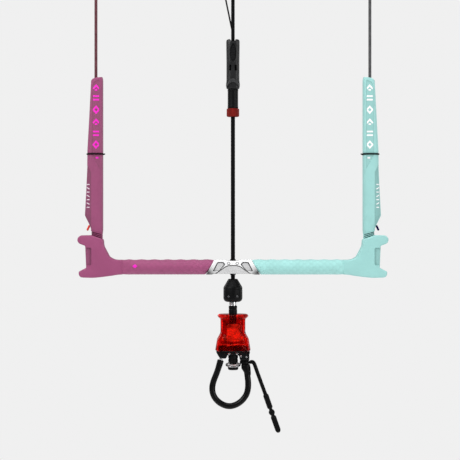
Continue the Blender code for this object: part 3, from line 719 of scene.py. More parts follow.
def hard_paints():
    """Plastic, rubber and metal."""
    dark_red, red_speck = (0.142, 0.0065, 0.004), (0.22, 0.025, 0.018)
    hose, hose_speck = (0.0028, 0.0028, 0.003), (0.009, 0.009, 0.0095)
    finger, finger_speck = (0.0024, 0.0024, 0.0026), (0.007, 0.007, 0.0074)
    inside, block = (0.002, 0.002, 0.0022), (0.0030, 0.0031, 0.0034)
    pale, polished = (0.95, 0.94, 0.945), (0.80, 0.80, 0.805)
    groove = (0.10, 0.10, 0.102)
    return {
        "shell": shell_paint("black_shell"),
        "cleat": cleat_paint("black_cleat", (0.014, 0.0142, 0.015), 0.24),
        # Painted highlight: a lighter grey copy of the cleat's paint for the brow.
        "brow": cleat_paint("cleat_brow_highlight", (0.036, 0.0365, 0.038), 0.34),
        # Painted shade: a darker, duller black for the faces that tools cut for holes and recesses,
        # in white parts as well as black ones.
        "inside_shade": shell_paint("black_inside_shade", inside, 0.7, 0.85, worn=0, shine=0.03),
        "gloss": shell_paint("black_gloss", BLACK, 0.16, 0.28, grain=0.01, worn=0, shine=0.2),
        "block": shell_paint("black_block", block, 0.24, 0.38, shine=0.14),
        "steel": steel_paint("brushed_steel"),
        "bright": steel_paint("polished_steel", polished, 0.08, 0.2, (1, 1, 3)),
        "alloy": steel_paint("anodised_alloy", (0.5, 0.5, 0.52), 0.28, 0.4, (14, 1, 1)),
        "ring": rubber_paint("red_bumper", dark_red, 0.5, 0.7, red_speck, 0.1),
        "loop": rubber_paint("loop_rubber", hose, 0.2, 0.34, hose_speck, 0.14),
        "finger": rubber_paint("urethane", finger, 0.3, 0.45, finger_speck, 0.08),
        "insert": insert_paint("white_insert", (0.92, 0.92, 0.925), (0.5, 0.5, 0.505)),
        "window": insert_paint("window_grey", (0.58, 0.58, 0.585), (0.25, 0.25, 0.255)),
        "groove": insert_paint("groove_grey", groove, (0.05, 0.05, 0.05), 0.5, 0.65),
        "panel": insert_paint("panel_grey", (0.60, 0.60, 0.605), (0.4, 0.4, 0.4)),
        "rim_steel": steel_paint("rim_steel", (0.30, 0.30, 0.305), 0.2, 0.34),
        "dark_steel": steel_paint("dark_steel", (0.16, 0.16, 0.165), 0.24, 0.4),
        # Painted shade: the cleat's teeth are near-black steel, so that the recess behind the
        # window is dark.
        "jaw": steel_paint("near_black_jaw_steel", (0.035, 0.035, 0.037), 0.3, 0.5),
        "satin": steel_paint("satin_alloy", pale, 0.4, 0.55, (3, 3, 1), 0.25, groove=False),
        "handle": handle_paint("red_see_through", (0.60, 0.006, 0.003), 0.95),
        "handle_panel": handle_paint("red_solid", (0.97, 0.018, 0.007), 0.55),
    }


def coloured_paints():
    """Foam, mouldings and print in the two colours of the bar."""
    plum, sea = (0.318, 0.066, 0.168), TURQUOISE
    sea_pocket_shade = (0.275, 0.515, 0.495)
    return {
        "grip_left": foam_paint("mauve_eva", (0.350, 0.068, 0.182), FOAM_MAUVE_DARK, 0.6),
        "grip_right": foam_paint("turquoise_eva", (0.385, 0.735, 0.702), FOAM_TURQUOISE_DARK, 0.6),
        "float_left": foam_paint("mauve_foam", MAUVE, FOAM_MAUVE_DARK),
        "float_right": foam_paint("turquoise_foam", TURQUOISE, FOAM_TURQUOISE_DARK),
        "end_left": moulded_paint("mauve_moulding", plum, MAUVE_DARK),
        "end_right": moulded_paint("turquoise_moulding", sea, TURQUOISE_DARK),
        "mark_left": print_paint("magenta_print", (0.92, 0.012, 0.58), MAUVE),
        "mark_right": print_paint("white_print", (0.95, 0.95, 0.95), TURQUOISE),
        "small_left": print_paint("pale_print", (0.82, 0.66, 0.76), MAUVE),
        "small_right": print_paint("pale_print_right", (0.95, 0.97, 0.97), TURQUOISE),
        # Painted shade: darker copies of the moulding paint for the faces of the recessed pockets.
        "pocket_left": moulded_paint("mauve_pocket_shade", (0.27, 0.068, 0.150), MAUVE_DARK),
        "pocket_right": moulded_paint("turquoise_pocket_shade", sea_pocket_shade, TURQUOISE_DARK),
        # The ribs' dark colours are painted shade in the neck's grooves.
        "neck_left": neck_paint("mauve_ribs", plum, (0.060, 0.010, 0.028)),
        "neck_right": neck_paint("turquoise_ribs", sea, (0.055, 0.120, 0.118)),
    }


# ---------------------------------------------------------------- studio


LOOK_AT = Vector((-4.7 * MM, 0.0, BAR_Z + 59.6 * MM))
VIEW_HEIGHT = 740.6 * MM  # what the picture covers, up and down, at the bar
CAMERA_AWAY = 2.2
BACKDROP = (0.871, 0.871, 0.871)
FLOOR_Z = -2.0


def make_camera():
    data = bpy.data.cameras.new("camera")
    data.sensor_width = 36.0
    data.lens = 36.0 * CAMERA_AWAY / VIEW_HEIGHT
    data.clip_start, data.clip_end = 0.05, 60.0
    camera = bpy.data.objects.new("camera", data)
    camera.location = LOOK_AT + Vector((0.0, -CAMERA_AWAY, 0.0))
    camera.rotation_euler = (math.pi / 2, 0.0, 0.0)
    bpy.context.collection.objects.link(camera)
    bpy.context.scene.camera = camera


def soft_light(name, place, target, size, power):
    data = bpy.data.lights.new(name, "AREA")
    data.shape = "RECTANGLE"
    data.size, data.size_y = size
    data.energy = power
    light = bpy.data.objects.new(name, data)
    light.location = place
    light.rotation_euler = (Vector(target) - Vector(place)).to_track_quat("-Z", "Y").to_euler()
    bpy.context.collection.objects.link(light)


def make_studio():
    """A pale room: what the camera sees of it is even, and it lights the object from all round,
    with soft lamps in front, beside and above."""
    world = bpy.data.worlds.new("studio")
    world.use_nodes = True
    nodes, links = world.node_tree.nodes, world.node_tree.links
    seen = nodes["Background"]
    seen.inputs["Color"].default_value = (*BACKDROP, 1.0)
    fill = nodes.new("ShaderNodeBackground")
    fill.inputs["Color"].default_value = (0.86, 0.87, 0.88, 1.0)
    fill.inputs["Strength"].default_value = 0.24
    mix = nodes.new("ShaderNodeMixShader")
    ray = nodes.new("ShaderNodeLightPath")
    either = nodes.new("ShaderNodeMath")
    either.operation = "MAXIMUM"
    links.new(ray.outputs["Is Camera Ray"], either.inputs[0])
    links.new(ray.outputs["Is Transmission Ray"], either.inputs[1])
    links.new(either.outputs[0], mix.inputs[0])
    links.new(fill.outputs[0], mix.inputs[1])
    links.new(seen.outputs[0], mix.inputs[2])
    links.new(mix.outputs[0], nodes["World Output"].inputs[0])
    bpy.context.scene.world = world

    floor = Paint("pale_floor", (0.86, 0.86, 0.86))
    floor.mottled(2.0, 0.985, 1.0)
    floor.set(Roughness=0.7, Emission_Color=(0.86, 0.86, 0.86, 1.0), Emission_Strength=0.42)
    bpy.ops.mesh.primitive_plane_add(size=10.0, location=(0, 0, FLOOR_Z))
    plane = bpy.context.object
    plane.name = "studio_floor"
    plane.data.materials.append(floor.done())

    aim = (0.0, 0.0, BAR_Z)
    soft_light("key", (-1.9, -1.9, 1.1), aim, (1.8, 1.6), 56.0)
    soft_light("fill", (2.3, -1.8, -0.1), aim, (1.6, 2.0), 35.0)
    soft_light("top", (0.0, -0.5, 1.9), aim, (2.4, 1.2), 34.0)
    soft_light("back_left", (-2.0, 2.0, 0.4), aim, (1.4, 1.8), 18.0)
    soft_light("back_right", (2.2, 1.8, 0.2), aim, (1.4, 1.8), 18.0)
    view = bpy.context.scene.view_settings
    view.view_transform = "Standard"
    view.look = "None"


# ---------------------------------------------------------------- cords


def whipped(name, at, direction, radius, length, paint):
    """Thread wound round a rope: a sleeve of fine ridges along a direction, with tucked ends."""
    direction = Vector(direction).normalized()
    count = int(length / 0.12)
    path = [Vector(at) + direction * length * i / (count - 1) for i in range(count)]
    ridges = 0.16 * np.abs(np.sin(np.linspace(0, math.pi * length / 0.55, count)))
    skin = radius + ridges
    skin[0] = skin[-1] = radius - 0.35
    return swept(name, path, skin, paint, sides=24, sharp=80.0)


def eye_path(centre, half_x, half_z, lean=0.0, count=110):
    """An oval in the plane of the front, which starts at its foot."""
    a = np.linspace(-math.pi / 2, 1.5 * math.pi, count, endpoint=False)
    x, z = half_x * np.cos(a), half_z * np.sin(a)
    c, s = math.cos(lean), math.sin(lean)
    oval = np.column_stack([x * c + z * s, np.zeros(count), z * c - x * s])
    return oval + np.array(centre, float)


def make_trim_cord(paint):
    knots = [(0, TRIM_Y, 342 + 17.2 * i) for i in range(7)]
    path = even_path(knots, 230)
    cord = braided("trim_cord", path, TRIM_R - 0.08, paint["rope"])
    fit(cord, "centre_line", "black_rope", "trim_line")
    oval = eye_path((0, TRIM_Y, 455.2), 4.4, 7.5)
    eye = braided("trim_eye", oval, 2.2, paint["rope"], 6, 24, 0.26, closed=True)
    fit(eye, "centre_line", "black_rope", "trim_line_eye")
    binding = whipped("trim_eye_whipping", (0, TRIM_Y, 441.8), UP, 3.2, 6.2, paint["whipping"])
    fit(binding, "centre_line", "black_rope")


def make_safety_cord(paint):
    """The thin line behind the trim line, which leans out to the left above the cleat."""
    knots = [(0.3, SAFETY_Y, 344), (0.2, SAFETY_Y, 366), (-0.6, 4.3, 378), (-2.9, 3.6, 389)]
    knots += [(-8.1, 2.0, 414), (-12.2, 1.0, 434), (-16.0, 0.4, 452.5)]
    path = smooth_path(knots, 250)
    cord = braided("safety_cord", path, SAFETY_R - 0.04, paint["rope"], 6, 20, 0.16)
    fit(cord, "centre_line", "black_rope", "safety_line")
    way = path[-1] - path[-4]
    way /= np.linalg.norm(way)
    lean = math.atan2(way[0], way[2])
    oval = eye_path(path[-1] + way * 4.2, 2.7, 4.2, lean, 80)
    eye = braided("safety_eye", oval, 1.1, paint["rope"], 6, 20, 0.14, closed=True)
    fit(eye, "centre_line", "black_rope")
    foot = path[-1] - way * 3.2
    binding = whipped("safety_eye_whipping", foot, way, 1.55, 3.6, paint["whipping"])
    fit(binding, "centre_line", "black_rope")


def make_leader(paint, side, word):
    x = side * LEADER_X
    path = even_path([(x, 0, 280 + 12.3 * i) for i in range(15)], 380)
    skin = paint["leader_" + word]
    slot = {"left": "brown_leader", "right": "grey_leader"}[word]
    cord = braided(f"leader_cord_{word}", path, LEADER_R - 0.06, skin, 8, 32, 0.24)
    fit(cord, f"float_{word}", slot, f"leader_{word}")
    oval = eye_path((x, 0, 456.6), 3.4, 5.4, count=90)
    loop = braided(f"leader_loop_{word}", oval, 1.75, skin, 6, 22, 0.2, closed=True)
    fit(loop, f"float_{word}", slot)
    binding = whipped(f"leader_whipping_{word}", (x, 0, 446.0), UP, 2.7, 5.2, paint["whipping"])
    fit(binding, f"float_{word}", slot)


def make_depower_rope(paint):
    path = even_path([(0, 0, -35.9), (0, 0, 295.9)], 700)
    z = path[:, 2]
    radius = np.interp(z, [-35.9, -35.4, -31.0, -28.0, -25.0], [0.6, 3.9, 6.2, 6.0, LINE_R + 0.08])
    rope = braided("depower_rope", path, radius, paint["rope"], depth=0.26)
    fit(rope, "centre_line", "black_rope", "depower_line")


# ---------------------------------------------------------------- trim cleat


CLEAT_SCREWS = ((8.2, 350.0), (-8.2, 300.0))
CLEAT_SECTIONS = ((286.6, 9.2, 8.0), (287.4, 10.3, 8.9), (291.4, 11.2, 9.4), (294.6, 11.1, 9.5))
CLEAT_SECTIONS += ((300.0, 10.5, 9.4), (330.0, 10.5, 9.4), (361.5, 10.9, 9.5), (363.6, 10.8, 9.3))
CLEAT_SECTIONS += ((365.2, 10.0, 8.4), (366.0, 8.6, 7.0))


def cleat_half(name, low, high, paint):
    """The cleat's body between two depths, with a notch at its top where the line comes out."""
    body = level_loft(name, even_sections(CLEAT_SECTIONS), paint["cleat"], 80, 2.7, fine=2)
    near, far = sorted((low, high), key=abs)
    cut = slab("behind", oblong(-20, 280, 20, 370), *sorted((near, -far)), paint["inside_shade"])
    notch = [(-4.8, 367.0), (-3.0, 362.6), (3.0, 362.6), (4.8, 367.0)]
    notch = slab("notch", notch, -15.0, 15.0, paint["cleat"], soft=0.8)
    holes = [drill(1.35, -4.9, 12.0, paint["inside_shade"], at=spot) for spot in CLEAT_SCREWS]
    return carve(body, cut, notch, *holes)


def socket_screw(node, body, paint, facing=-1, shorter=0.0):
    """A pan-head screw with a hexagon socket, in the place of a CAD screw along Y. Its head faces
    the front or, with a facing of 1, the back."""
    low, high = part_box(node)
    head = size_of(node).x / 2
    x, z = middle_of(node).x / MM, (middle_of(node).z - BAR_Z) / MM
    near, far = (low.y, high.y) if facing < 0 else (high.y, low.y)
    near, far = near / MM, far / MM
    way = 1 if far > near else -1
    far -= way * shorter
    deep = min(1.0, abs(far - near) * 0.6)
    shank = head * 0.6
    under = near + way * deep
    profile = [(0, near), (head, near), (head, under), (shank, under), (shank, far), (0, far)]
    soft = min(0.4, head * 0.25)
    made = turned(node + "_head", profile, paint, at=(x, 0, z), along="Y", steps=32, soft=soft)
    across = head * 0.55
    turns = np.arange(6) * TURN / 6 + 0.3
    six = [(x + across * math.cos(a), z + across * math.sin(a)) for a in turns]
    edge = sorted((near - way * 0.5, near + way * deep * 0.7))
    carve(made, slab("socket", six, *edge, paint))
    fit(made, body, "steel", node)


def make_cleat(paint):
    shell = paint["cleat"]
    face = cleat_half("cleat_face", -0.15, -12.0, paint)
    hollow = [(285.0, -5.4, 5.4, 6.0), (352.0, -5.4, 5.4, 6.6)]
    hollow += [(358.0, -4.4, 4.4, 6.9), (368.0, -4.4, 4.4, 6.9)]
    channel = level_loft("channel", hollow, paint["inside_shade"], count=32)
    opening = (0.4, 344.5)
    window = slab("window", ellipse(opening, 4.9, 14.5), -12.0, -5.0, paint["inside_shade"])
    dish = slab("dish", ellipse(opening, 6.7, 16.6), -12.0, -8.75, shell, rim=0.0, back_rim=0.7)
    seat = slab("seat", oblong(-5.3, 328.7, 5.3, 358.3), -7.4, -3.6, paint["inside_shade"])
    slots = []
    for low, high in ((-6.0, -2.5), (2.6, 6.2)):
        edge = oblong(low, 315.2, high, 324.6)
        slots.append(slab("slot", edge, -12.0, -7.2, paint["inside_shade"], soft=1.0))
    carve(face, channel, window, dish, seat, *slots, edge=0.28)
    rib = [(-9.9, 289.4), (-9.9, 292.8), (-6.4, 298.6), (-3.2, 301.6), (0, 302.8), (3.2, 301.6)]
    rib += [(6.4, 298.6), (9.9, 292.8), (9.9, 289.4), (5.6, 293.8), (2.8, 296.4), (0, 297.2)]
    rib += [(-2.8, 296.4), (-5.6, 293.8)]
    brow = slab("brow", rib, -10.9, -8.0, paint["brow"], soft=1.4, rim=1.2, back_rim=0)
    fuse(face, brow)
    fit(face, "centre_line", "black_shell", "cleat_front")

    back = cleat_half("cleat_rear", 0.15, 12.0, paint)
    channel = level_loft("channel", hollow, paint["inside_shade"], count=32)
    heads = [drill(2.2, 8.0, 12.0, paint["inside_shade"], at=spot) for spot in CLEAT_SCREWS]
    pocket = oblong(-6.0, 306, 6.0, 340)
    pocket = slab("pocket", pocket, 8.6, 12.0, shell, soft=3.0, rim=0.5, back_rim=0)
    carve(back, channel, pocket, *heads, edge=0.28)
    fit(back, "centre_line", "black_shell", "cleat_back")

    teeth = oblong(-5.0, 329, 5.0, 358)
    jaw = slab("cleat_teeth", teeth, -7.1, -3.9, paint["jaw"], soft=0.8, rim=0.4)
    cuts = []
    for i in range(7):
        z = 332.5 + 3.8 * i
        cuts.append(slab("tooth", oblong(-6, z, 6, z + 1.3), -8.0, -6.3, paint["jaw"]))
    carve(jaw, *cuts)
    fit(jaw, "centre_line", "steel", "cleat_jaw")
    for node in ("cleat_screw_upper", "cleat_screw_lower"):
        socket_screw(node, "centre_line", paint["steel"], 1, shorter=2.2)
    make_cuff(paint)
    make_bumper(paint)


def make_cuff(paint):
    profile = [(3.6, 286.3), (7.9, 286.3), (8.6, 285.2), (8.6, 283.2), (8.4, 282.8), (8.4, 259.4)]
    profile += [(8.6, 259.0), (8.6, 255.9), (8.2, 255.2), (3.6, 255.2)]
    sleeve = turned("cleat_cuff", profile, paint["shell"], steps=56, soft=0.25)
    fit(sleeve, "centre_line", "black_shell", "cleat_sleeve")


def make_bumper(paint):
    """The red ring with sixteen shallow flutes, which fade out towards the line."""
    steps = 96
    a = round_angles(steps)
    profile = [(3.6, 254.9), (9.3, 254.9), (10.0, 254.0), (10.0, 243.2), (8.9, 241.8), (3.6, 241.8)]
    rings = []
    for radius, z in softened(profile, 0.7, 4):
        flute = 0.22 * np.cos(a * 16) * min(1.0, max(0.0, (radius - 8.5) / 1.2))
        r = radius + flute - 0.1
        rings.append(np.column_stack([r * np.cos(a), r * np.sin(a), np.full(steps, z)]))
    ring = skinned("bumper", rings, paint["ring"], looped=True, sharp=50)
    fit(ring, "centre_line", "red_bumper", "bumper_ring")


def make_swivel(paint):
    profile = [(3.6, -19.0), (7.2, -19.0), (14.6, -31.4), (15.3, -33.4), (15.3, -35.2)]
    profile += [(14.95, -35.3), (14.95, -35.9), (15.3, -36.0), (15.3, -50.5), (14.0, -53.8)]
    profile += [(11.6, -55.6), (9.8, -56.0), (4.9, -56.0), (4.9, -46.0), (11.5, -46.0)]
    profile += [(11.5, -28.5), (7.0, -24.2), (3.6, -24.2)]
    head = turned("swivel_housing", profile, paint["shell"], steps=72, soft=0.9)
    holes = [drill(1.9, -17.0, -12.4, paint["inside_shade"], at=(6.9 * s, -46.6)) for s in (-1, 1)]
    carve(head, *holes, edge=0.15)
    fit(head, "centre_line", "black_shell", "swivel_head")
    for word in ("left", "right"):
        socket_screw(f"swivel_screw_{word}", "centre_line", paint["dark_steel"])


# ---------------------------------------------------------------- bar


INSERT_HALF = [(6.0, 10.2), (9.4, 10.4), (12.4, 12.0), (29.7, 12.0), (43.2, -11.9), (34.4, -11.9)]
INSERT_HALF += [(30.4, -10.6)]
INSERT_OUTLINE = INSERT_HALF + sided(INSERT_HALF[::-1], -1)


def tube_socket(side, low, high, paint):
    return drill(TUBE_BORE, *sorted((low * side, high * side)), paint, along="X")


def make_insert(paint):
    make_insert_face(paint)
    make_insert_panes(paint)
    make_insert_rear(paint)


def make_insert_panes(paint):
    """A grey pane in each window and a round cap beside the line."""
    for side, word in SIDES:
        pane = sided([(30.3, -5.8), (24.0, 6.5), (16.2, 6.7), (14.3, 4.0), (22.5, -5.8)], side)
        name = f"insert_window_{word}"
        pane = slab(name, pane, -12.5, -11.3, paint["window"], soft=1.3, rim=0.35)
        fit(pane, "bar", "white_insert")
        profile = [(0, -12.9), (1.7, -12.9), (1.7, -12.2), (0, -12.2)]
        place = (INSERT_CAP[0] * side, 0, INSERT_CAP[1])
        name = f"insert_cap_{word}"
        cap = turned(name, profile, paint["insert"], at=place, along="Y", soft=0.3)
        fit(cap, "bar", "white_insert")


def make_insert_face(paint):
    """The front half: an arch over a sunk panel, with two slanting windows beside it."""
    white, groove = paint["insert"], paint["groove"]
    face = slab("insert_face", INSERT_OUTLINE, -13.0, -0.15, white, soft=1.1, rim=1.8, back_rim=0.1)
    tools = [ball_seat("seat", paint["inside_shade"])]
    for side in (-1, 1):
        tools.append(tube_socket(side, 19.7, 60.0, white))
        tools.append(drill(1.85, -10.0, 1.0, white, at=(INSERT_BOLT_X * side, 0)))
        window = sided([(32.4, -6.3), (25.0, 8.2), (15.2, 8.4), (12.0, 4.3), (21.9, -6.3)], side)
        tools.append(slab("gap", window, -20.0, -11.6, groove, soft=1.6))
        ring = ellipse((INSERT_CAP[0] * side, INSERT_CAP[1]), 2.5, 2.5, 28)
        tools.append(slab("ring", ring, -20.0, -12.3, groove))
    arch = [(-28.0, -10.1), (-20.8, -5.6), (-14.6, -1.0), (-9.8, 1.6), (-5.0, 2.55), (0.0, 2.8)]
    arch = np.array(arch + sided(arch[-2::-1], -1))
    arch = smooth_path(np.column_stack([arch, np.zeros(len(arch))]), 61)[:, :2]
    inside = [(x * 0.97, z - 0.4) for x, z in arch if z > -9.0]
    inside += [(23.5, -9.2), (-23.5, -9.2)]
    tools.append(slab("panel", inside, -20.0, -12.65, paint["panel"]))
    tools.append(slab("arch", band(arch, 1.5), -20.0, -12.1, groove))
    carve(face, *tools, edge=0.22)
    fit(face, "bar", "white_insert", "insert_front")


def make_insert_rear(paint):
    white, inside_shade = paint["insert"], paint["inside_shade"]
    rear = slab("insert_rear", INSERT_OUTLINE, 0.15, 13.0, white, soft=1.1, rim=0.1, back_rim=1.8)
    tools = [ball_seat("seat", inside_shade)]
    for side in (-1, 1):
        tools.append(tube_socket(side, 19.7, 60.0, white))
        tools.append(drill(1.85, -1.0, 14.0, white, at=(INSERT_BOLT_X * side, 0)))
        tools.append(drill(3.1, 11.4, 20.0, inside_shade, at=(INSERT_BOLT_X * side, 0)))
    outer = [(-24.0, -8.0), (-20.0, 8.6), (20.0, 8.6), (24.0, -8.0)]
    tools.append(slab("outer", outer, 12.4, 20.0, paint["window"], soft=2.0))
    carve(rear, *tools, edge=0.22)
    fit(rear, "bar", "white_insert", "insert_back")
    for word in ("left", "right"):
        socket_screw(f"insert_bolt_{word}", "bar", paint["steel"], 1)


def make_bush(paint):
    """The ball that carries the bar, with a smooth throat at each end for the line."""
    radius, neck, end = 7.8, 4.5, 12.8
    start = math.degrees(math.asin(neck / radius))
    ball = arc(radius, 90 - start, start - 90, 25)
    profile = [(3.6, end - 0.8), (4.0, end), (neck, end), *ball]
    profile += [(neck, -end), (4.0, -end), (3.6, 0.8 - end)]
    bush = turned("guide_ball", profile, paint["gloss"], steps=64)
    fit(bush, "line_guide", "bush_plastic", "line_bush")


def ball_seat(name, paint):
    """A tool for the hollow round the ball, with a flare above and below it."""
    reach, lip, flare = 8.1, 4.6, 9.6
    half = math.degrees(math.asin(lip / reach))
    profile = [(0, 13.4), (flare, 13.4), *arc(reach, half, -half, 12), (flare, -13.4), (0, -13.4)]
    return turned(name, profile, paint, steps=48)


def scale_height(u, v, around):
    """Overlapping leaf-shaped scales moulded into the grip, from 0 to 1. U runs along the bar and
    v round it, in millimetres; the pattern closes on itself after the length around."""
    long, rows = 10.6, 7
    wide = around / rows
    high = np.zeros_like(u)
    first = np.floor(u / (long / 2)).astype(int)
    for k in range(-2, 3):
        row = first + k
        off = v / wide + np.where(row % 2, 0.5, 0.0)
        dv = (off - np.round(off)) * wide
        du = u - row * long / 2
        span = np.sqrt((du / (long * 0.62)) ** 2 + (dv / (wide * 0.56)) ** 2)
        inside = span < 1
        rise = np.clip((1 - span) / 0.22, 0, 1)
        body = (0.45 + 0.55 * np.clip((du / long + 0.62) / 1.24, 0, 1)) * rise**0.7
        high = np.where(inside & (body > high), body, high)
    return high


def make_grip(paint, side, word):
    """The foam sleeve on the tube, cut on the slant where it meets the insert. It swells in waves
    along its top and turns square towards the bar end."""
    low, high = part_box(f"grip_{word}")
    start = 36.9
    end = max(abs(low.x), abs(high.x)) / MM
    slope = 13.5 / 23.9
    around, along = 144, 250
    a = round_angles(around)
    t = np.linspace(0, 1, along)
    base = GRIP_R - 0.42
    z_edge = base * np.sin(a)
    x = (start - slope * z_edge)[None, :] * (1 - t[:, None]) + end * t[:, None]
    wave = scale_height(x, np.broadcast_to(a * GRIP_R, x.shape), TURN * GRIP_R)
    ends = np.clip((t + 0.002) * along / 3.0, 0, 1)[:, None] ** 0.5
    swell = 0.4 * np.cos(TURN * x / 21.0) * np.clip(np.sin(a), 0, 1)[None, :] ** 2
    smooth_ends = np.clip(np.minimum((t - 0.008) / 0.01, (0.985 - t) / 0.06), 0, 1)[:, None]
    squared = np.clip((x - 163.0) / 14.0, 0, 1)
    power = 2 + 2.4 * squared
    boxy = (np.abs(np.cos(a)) ** power + np.abs(np.sin(a)) ** power) ** (-1 / power)
    r = ((base - 0.45) + 0.3 * ends + (0.95 * wave + swell) * smooth_ends + 0.45 * squared) * boxy
    rings = np.stack([side * x, r * np.cos(a)[None, :], r * np.sin(a)[None, :]], axis=2)
    inner = []
    y, z = TUBE_BORE * np.cos(a), TUBE_BORE * np.sin(a)
    for reach in (np.full(around, end), start - slope * z):
        inner.append(np.stack([side * reach, y, z], axis=1))
    rings = np.concatenate([rings, inner])
    grip = skinned(f"grip_foam_{word}", rings, paint["grip_" + word], looped=True, sharp=70)
    # Painted shade: the grooves between the moulded scales are darker.
    grooves = 1.15 * np.clip(1.0 - wave.ravel(), 0, 1) ** 1.4
    shaded(grip, np.concatenate([grooves, np.zeros(2 * around)]))
    fit(grip, "bar", HUE[word] + "_grip", f"grip_{word}")


def make_grip_mark(paint):
    """A lozenge in the place of the small mark on the left grip."""
    lozenge = [(-161.2, 1.6), (-157.0, -1.8), (-152.8, 1.6), (-157.0, 5.0)]
    mark = slab("grip_mark", lozenge, -12.75, -11.0, paint["mark_left"], soft=0.6, rim=0.15)
    fit(mark, "bar", "mauve_grip")


# along the underside outwards, up the winding hook, then along the top back to the grip
END_SHAPE = [(173.0, -11.7), (178.0, -11.8), (186.0, -12.3), (193.2, -13.7), (209.1, -15.8)]
END_SHAPE += [(223.5, -17.2), (238.6, -16.9), (244.2, -16.3), (246.8, -13.4), (247.5, -9.0)]
END_SHAPE += [(246.8, -6.9), (237.5, -2.1), (235.4, -1.1), (236.8, 33.3), (237.8, 34.5)]
END_SHAPE += [(246.5, 37.7), (249.4, 41.4), (249.4, 46.4), (245.0, 51.0), (227.8, 51.4)]
END_SHAPE += [(208.3, 44.9), (208.0, 37.7), (207.2, 33.3), (199.0, 17.5), (197.2, 15.8)]
END_SHAPE += [(191.5, 12.6), (186.1, 11.6), (178.0, 11.6), (173.0, 11.6)]
GRIP_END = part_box("grip_right")[1].x / MM + 0.05


def make_bar_end(paint, side, word):
    """The moulding with its winding hook, a pocket in front and behind, and the leader's knot
    chamber. Where it meets the grip it is cut last, so that its edge stays sharp."""
    skin, dark, inside_shade = paint["end_" + word], paint["pocket_" + word], paint["inside_shade"]
    outline = sided(END_SHAPE, side)
    made = slab(f"end_moulding_{word}", outline, -12.0, 12.0, skin, soft=3.4, rim=2.4, steps=7)
    pocket = sided(oblong(226.8, 3.0, 243.0, 31.2), side)
    # The pockets' faces take the darker pocket paint, as painted shade in the recess.
    tools = [slab("pocket", pocket, *deep, dark, soft=3.0) for deep in ((-20.0, -9.6), (9.6, 20.0))]
    tools.append(tube_socket(side, 169.0, 213.3, inside_shade))
    for radius, low, high in ((2.75, 30.0, 60.0), (6.3, 19.5, 34.0)):
        tools.append(drill(radius, low, high, inside_shade, at=(side * LEADER_X, 0), along="Z"))
    tools.append(drill(3.3, 10.6, 20.0, inside_shade, at=(side * 200.0, 0)))
    carve(made, *tools, edge=0.5)
    carve(made, slab("joint", sided(oblong(160.0, -30.0, GRIP_END, 30.0), side), -20.0, 20.0, skin))
    fit(made, "bar", HUE[word] + "_bar_end", f"bar_end_{word}")
    socket_screw(f"bar_end_screw_{word}", "bar", paint["steel"], 1)


def make_neck(paint, side, word):
    """Three grooves in a neck that lets the float bend over. It slants at its foot and at its
    top and has a hole for the leader."""
    count, sides = 61, 56
    inner, wide = 209.6, 18.0
    rings, grooves = [], []
    for i in range(count):
        t = i / (count - 1)
        inner_z, outer_z = 44.2 + (54.4 - 44.2) * t, 51.2 + (58.6 - 51.2) * t
        nearest = min(abs(t - centre) for centre in (0.17, 0.46, 0.74))
        deep = max(0.0, 1.0 - (nearest / 0.10) ** 2) ** 0.6
        x0, x1 = 209.4 + 0.5 * deep, 228.0 - 1.1 * deep
        x, y = squircle((x1 - x0) / 2, 8.4 - 1.6 * deep, sides, 2.8).T
        x = x + (x0 + x1) / 2
        share = (x - inner) / wide
        rings.append(np.column_stack([side * x, y, inner_z + (outer_z - inner_z) * share]))
        # Painted shade in the grooves.
        grooves.append(deep * np.clip((x - 210.2) / 1.5, 0, 1))
    bore = squircle(LEADER_BORE, LEADER_BORE, sides, 2) + (LEADER_X, 0)
    for low, high in ((54.4, 58.6), (44.2, 51.2)):
        z = low + (high - low) * (bore[:, 0] - inner) / wide
        rings.append(np.column_stack([side * bore[:, 0], bore[:, 1], z]))
        grooves.append(np.zeros(sides))
    neck = skinned(f"neck_ribs_{word}", rings, paint["neck_" + word], looped=True, sharp=70)
    shaded(neck, np.concatenate(grooves))
    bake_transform(neck)
    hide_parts(f"float_neck_{word}")


# ---------------------------------------------------------------- floats


FLOAT_INNER = 208.9
FLOAT_FOOT, FLOAT_HEAD = 58.0, 300.8
FLOAT_OUTER = ((228.2, FLOAT_FOOT), (228.3, 61.0), (230.2, 66.2), (238.0, 82.0), (238.4, 84.0))
FLOAT_OUTER += ((236.4, 120.0), (234.4, 164.0), (234.1, 188.0), (231.2, 240.0), (228.8, 287.0))
FLOAT_OUTER += ((228.2, 299.4), (227.0, FLOAT_HEAD))
FLOAT_POWER = 3.3
FLOAT_DEPTHS = ((54.0, 8.4), (66.0, 10.2), (84.0, 11.5), (164.0, 11.5), (178.0, 11.2))
FLOAT_DEPTHS += ((240.0, 10.2), (290.0, 8.6), (300.0, 7.6), (307.0, 7.0))


def inside_polygon(x, z, polygon):
    """How far inside a convex polygon a point is, in millimetres."""
    points = anticlockwise(polygon)
    nearest = np.full(np.shape(x), 1e9)
    for (x0, z0), (x1, z1) in zip(points, np.roll(points, -1, axis=0)):
        length = math.hypot(x1 - x0, z1 - z0)
        away = ((x1 - x0) * (z - z0) - (z1 - z0) * (x - x0)) / length
        nearest = np.minimum(nearest, away)
    return nearest


def edge_line(inside):
    """1 in a narrow band at a panel's edge."""
    return np.clip(1 - np.abs(inside - 0.2) / 0.75, 0, 1)


UPPER_PANEL = ((213.9, 158.5), (225.9, 181.0), (225.4, 292.0), (222.0, 297.5), (215.2, 300.5))
UPPER_PANEL += ((213.9, 298.0),)
LOWER_PANEL = ((227.6, 60.0), (227.6, 152.5), (232.6, 163.0), (240.0, 166.0), (242.0, 60.0))


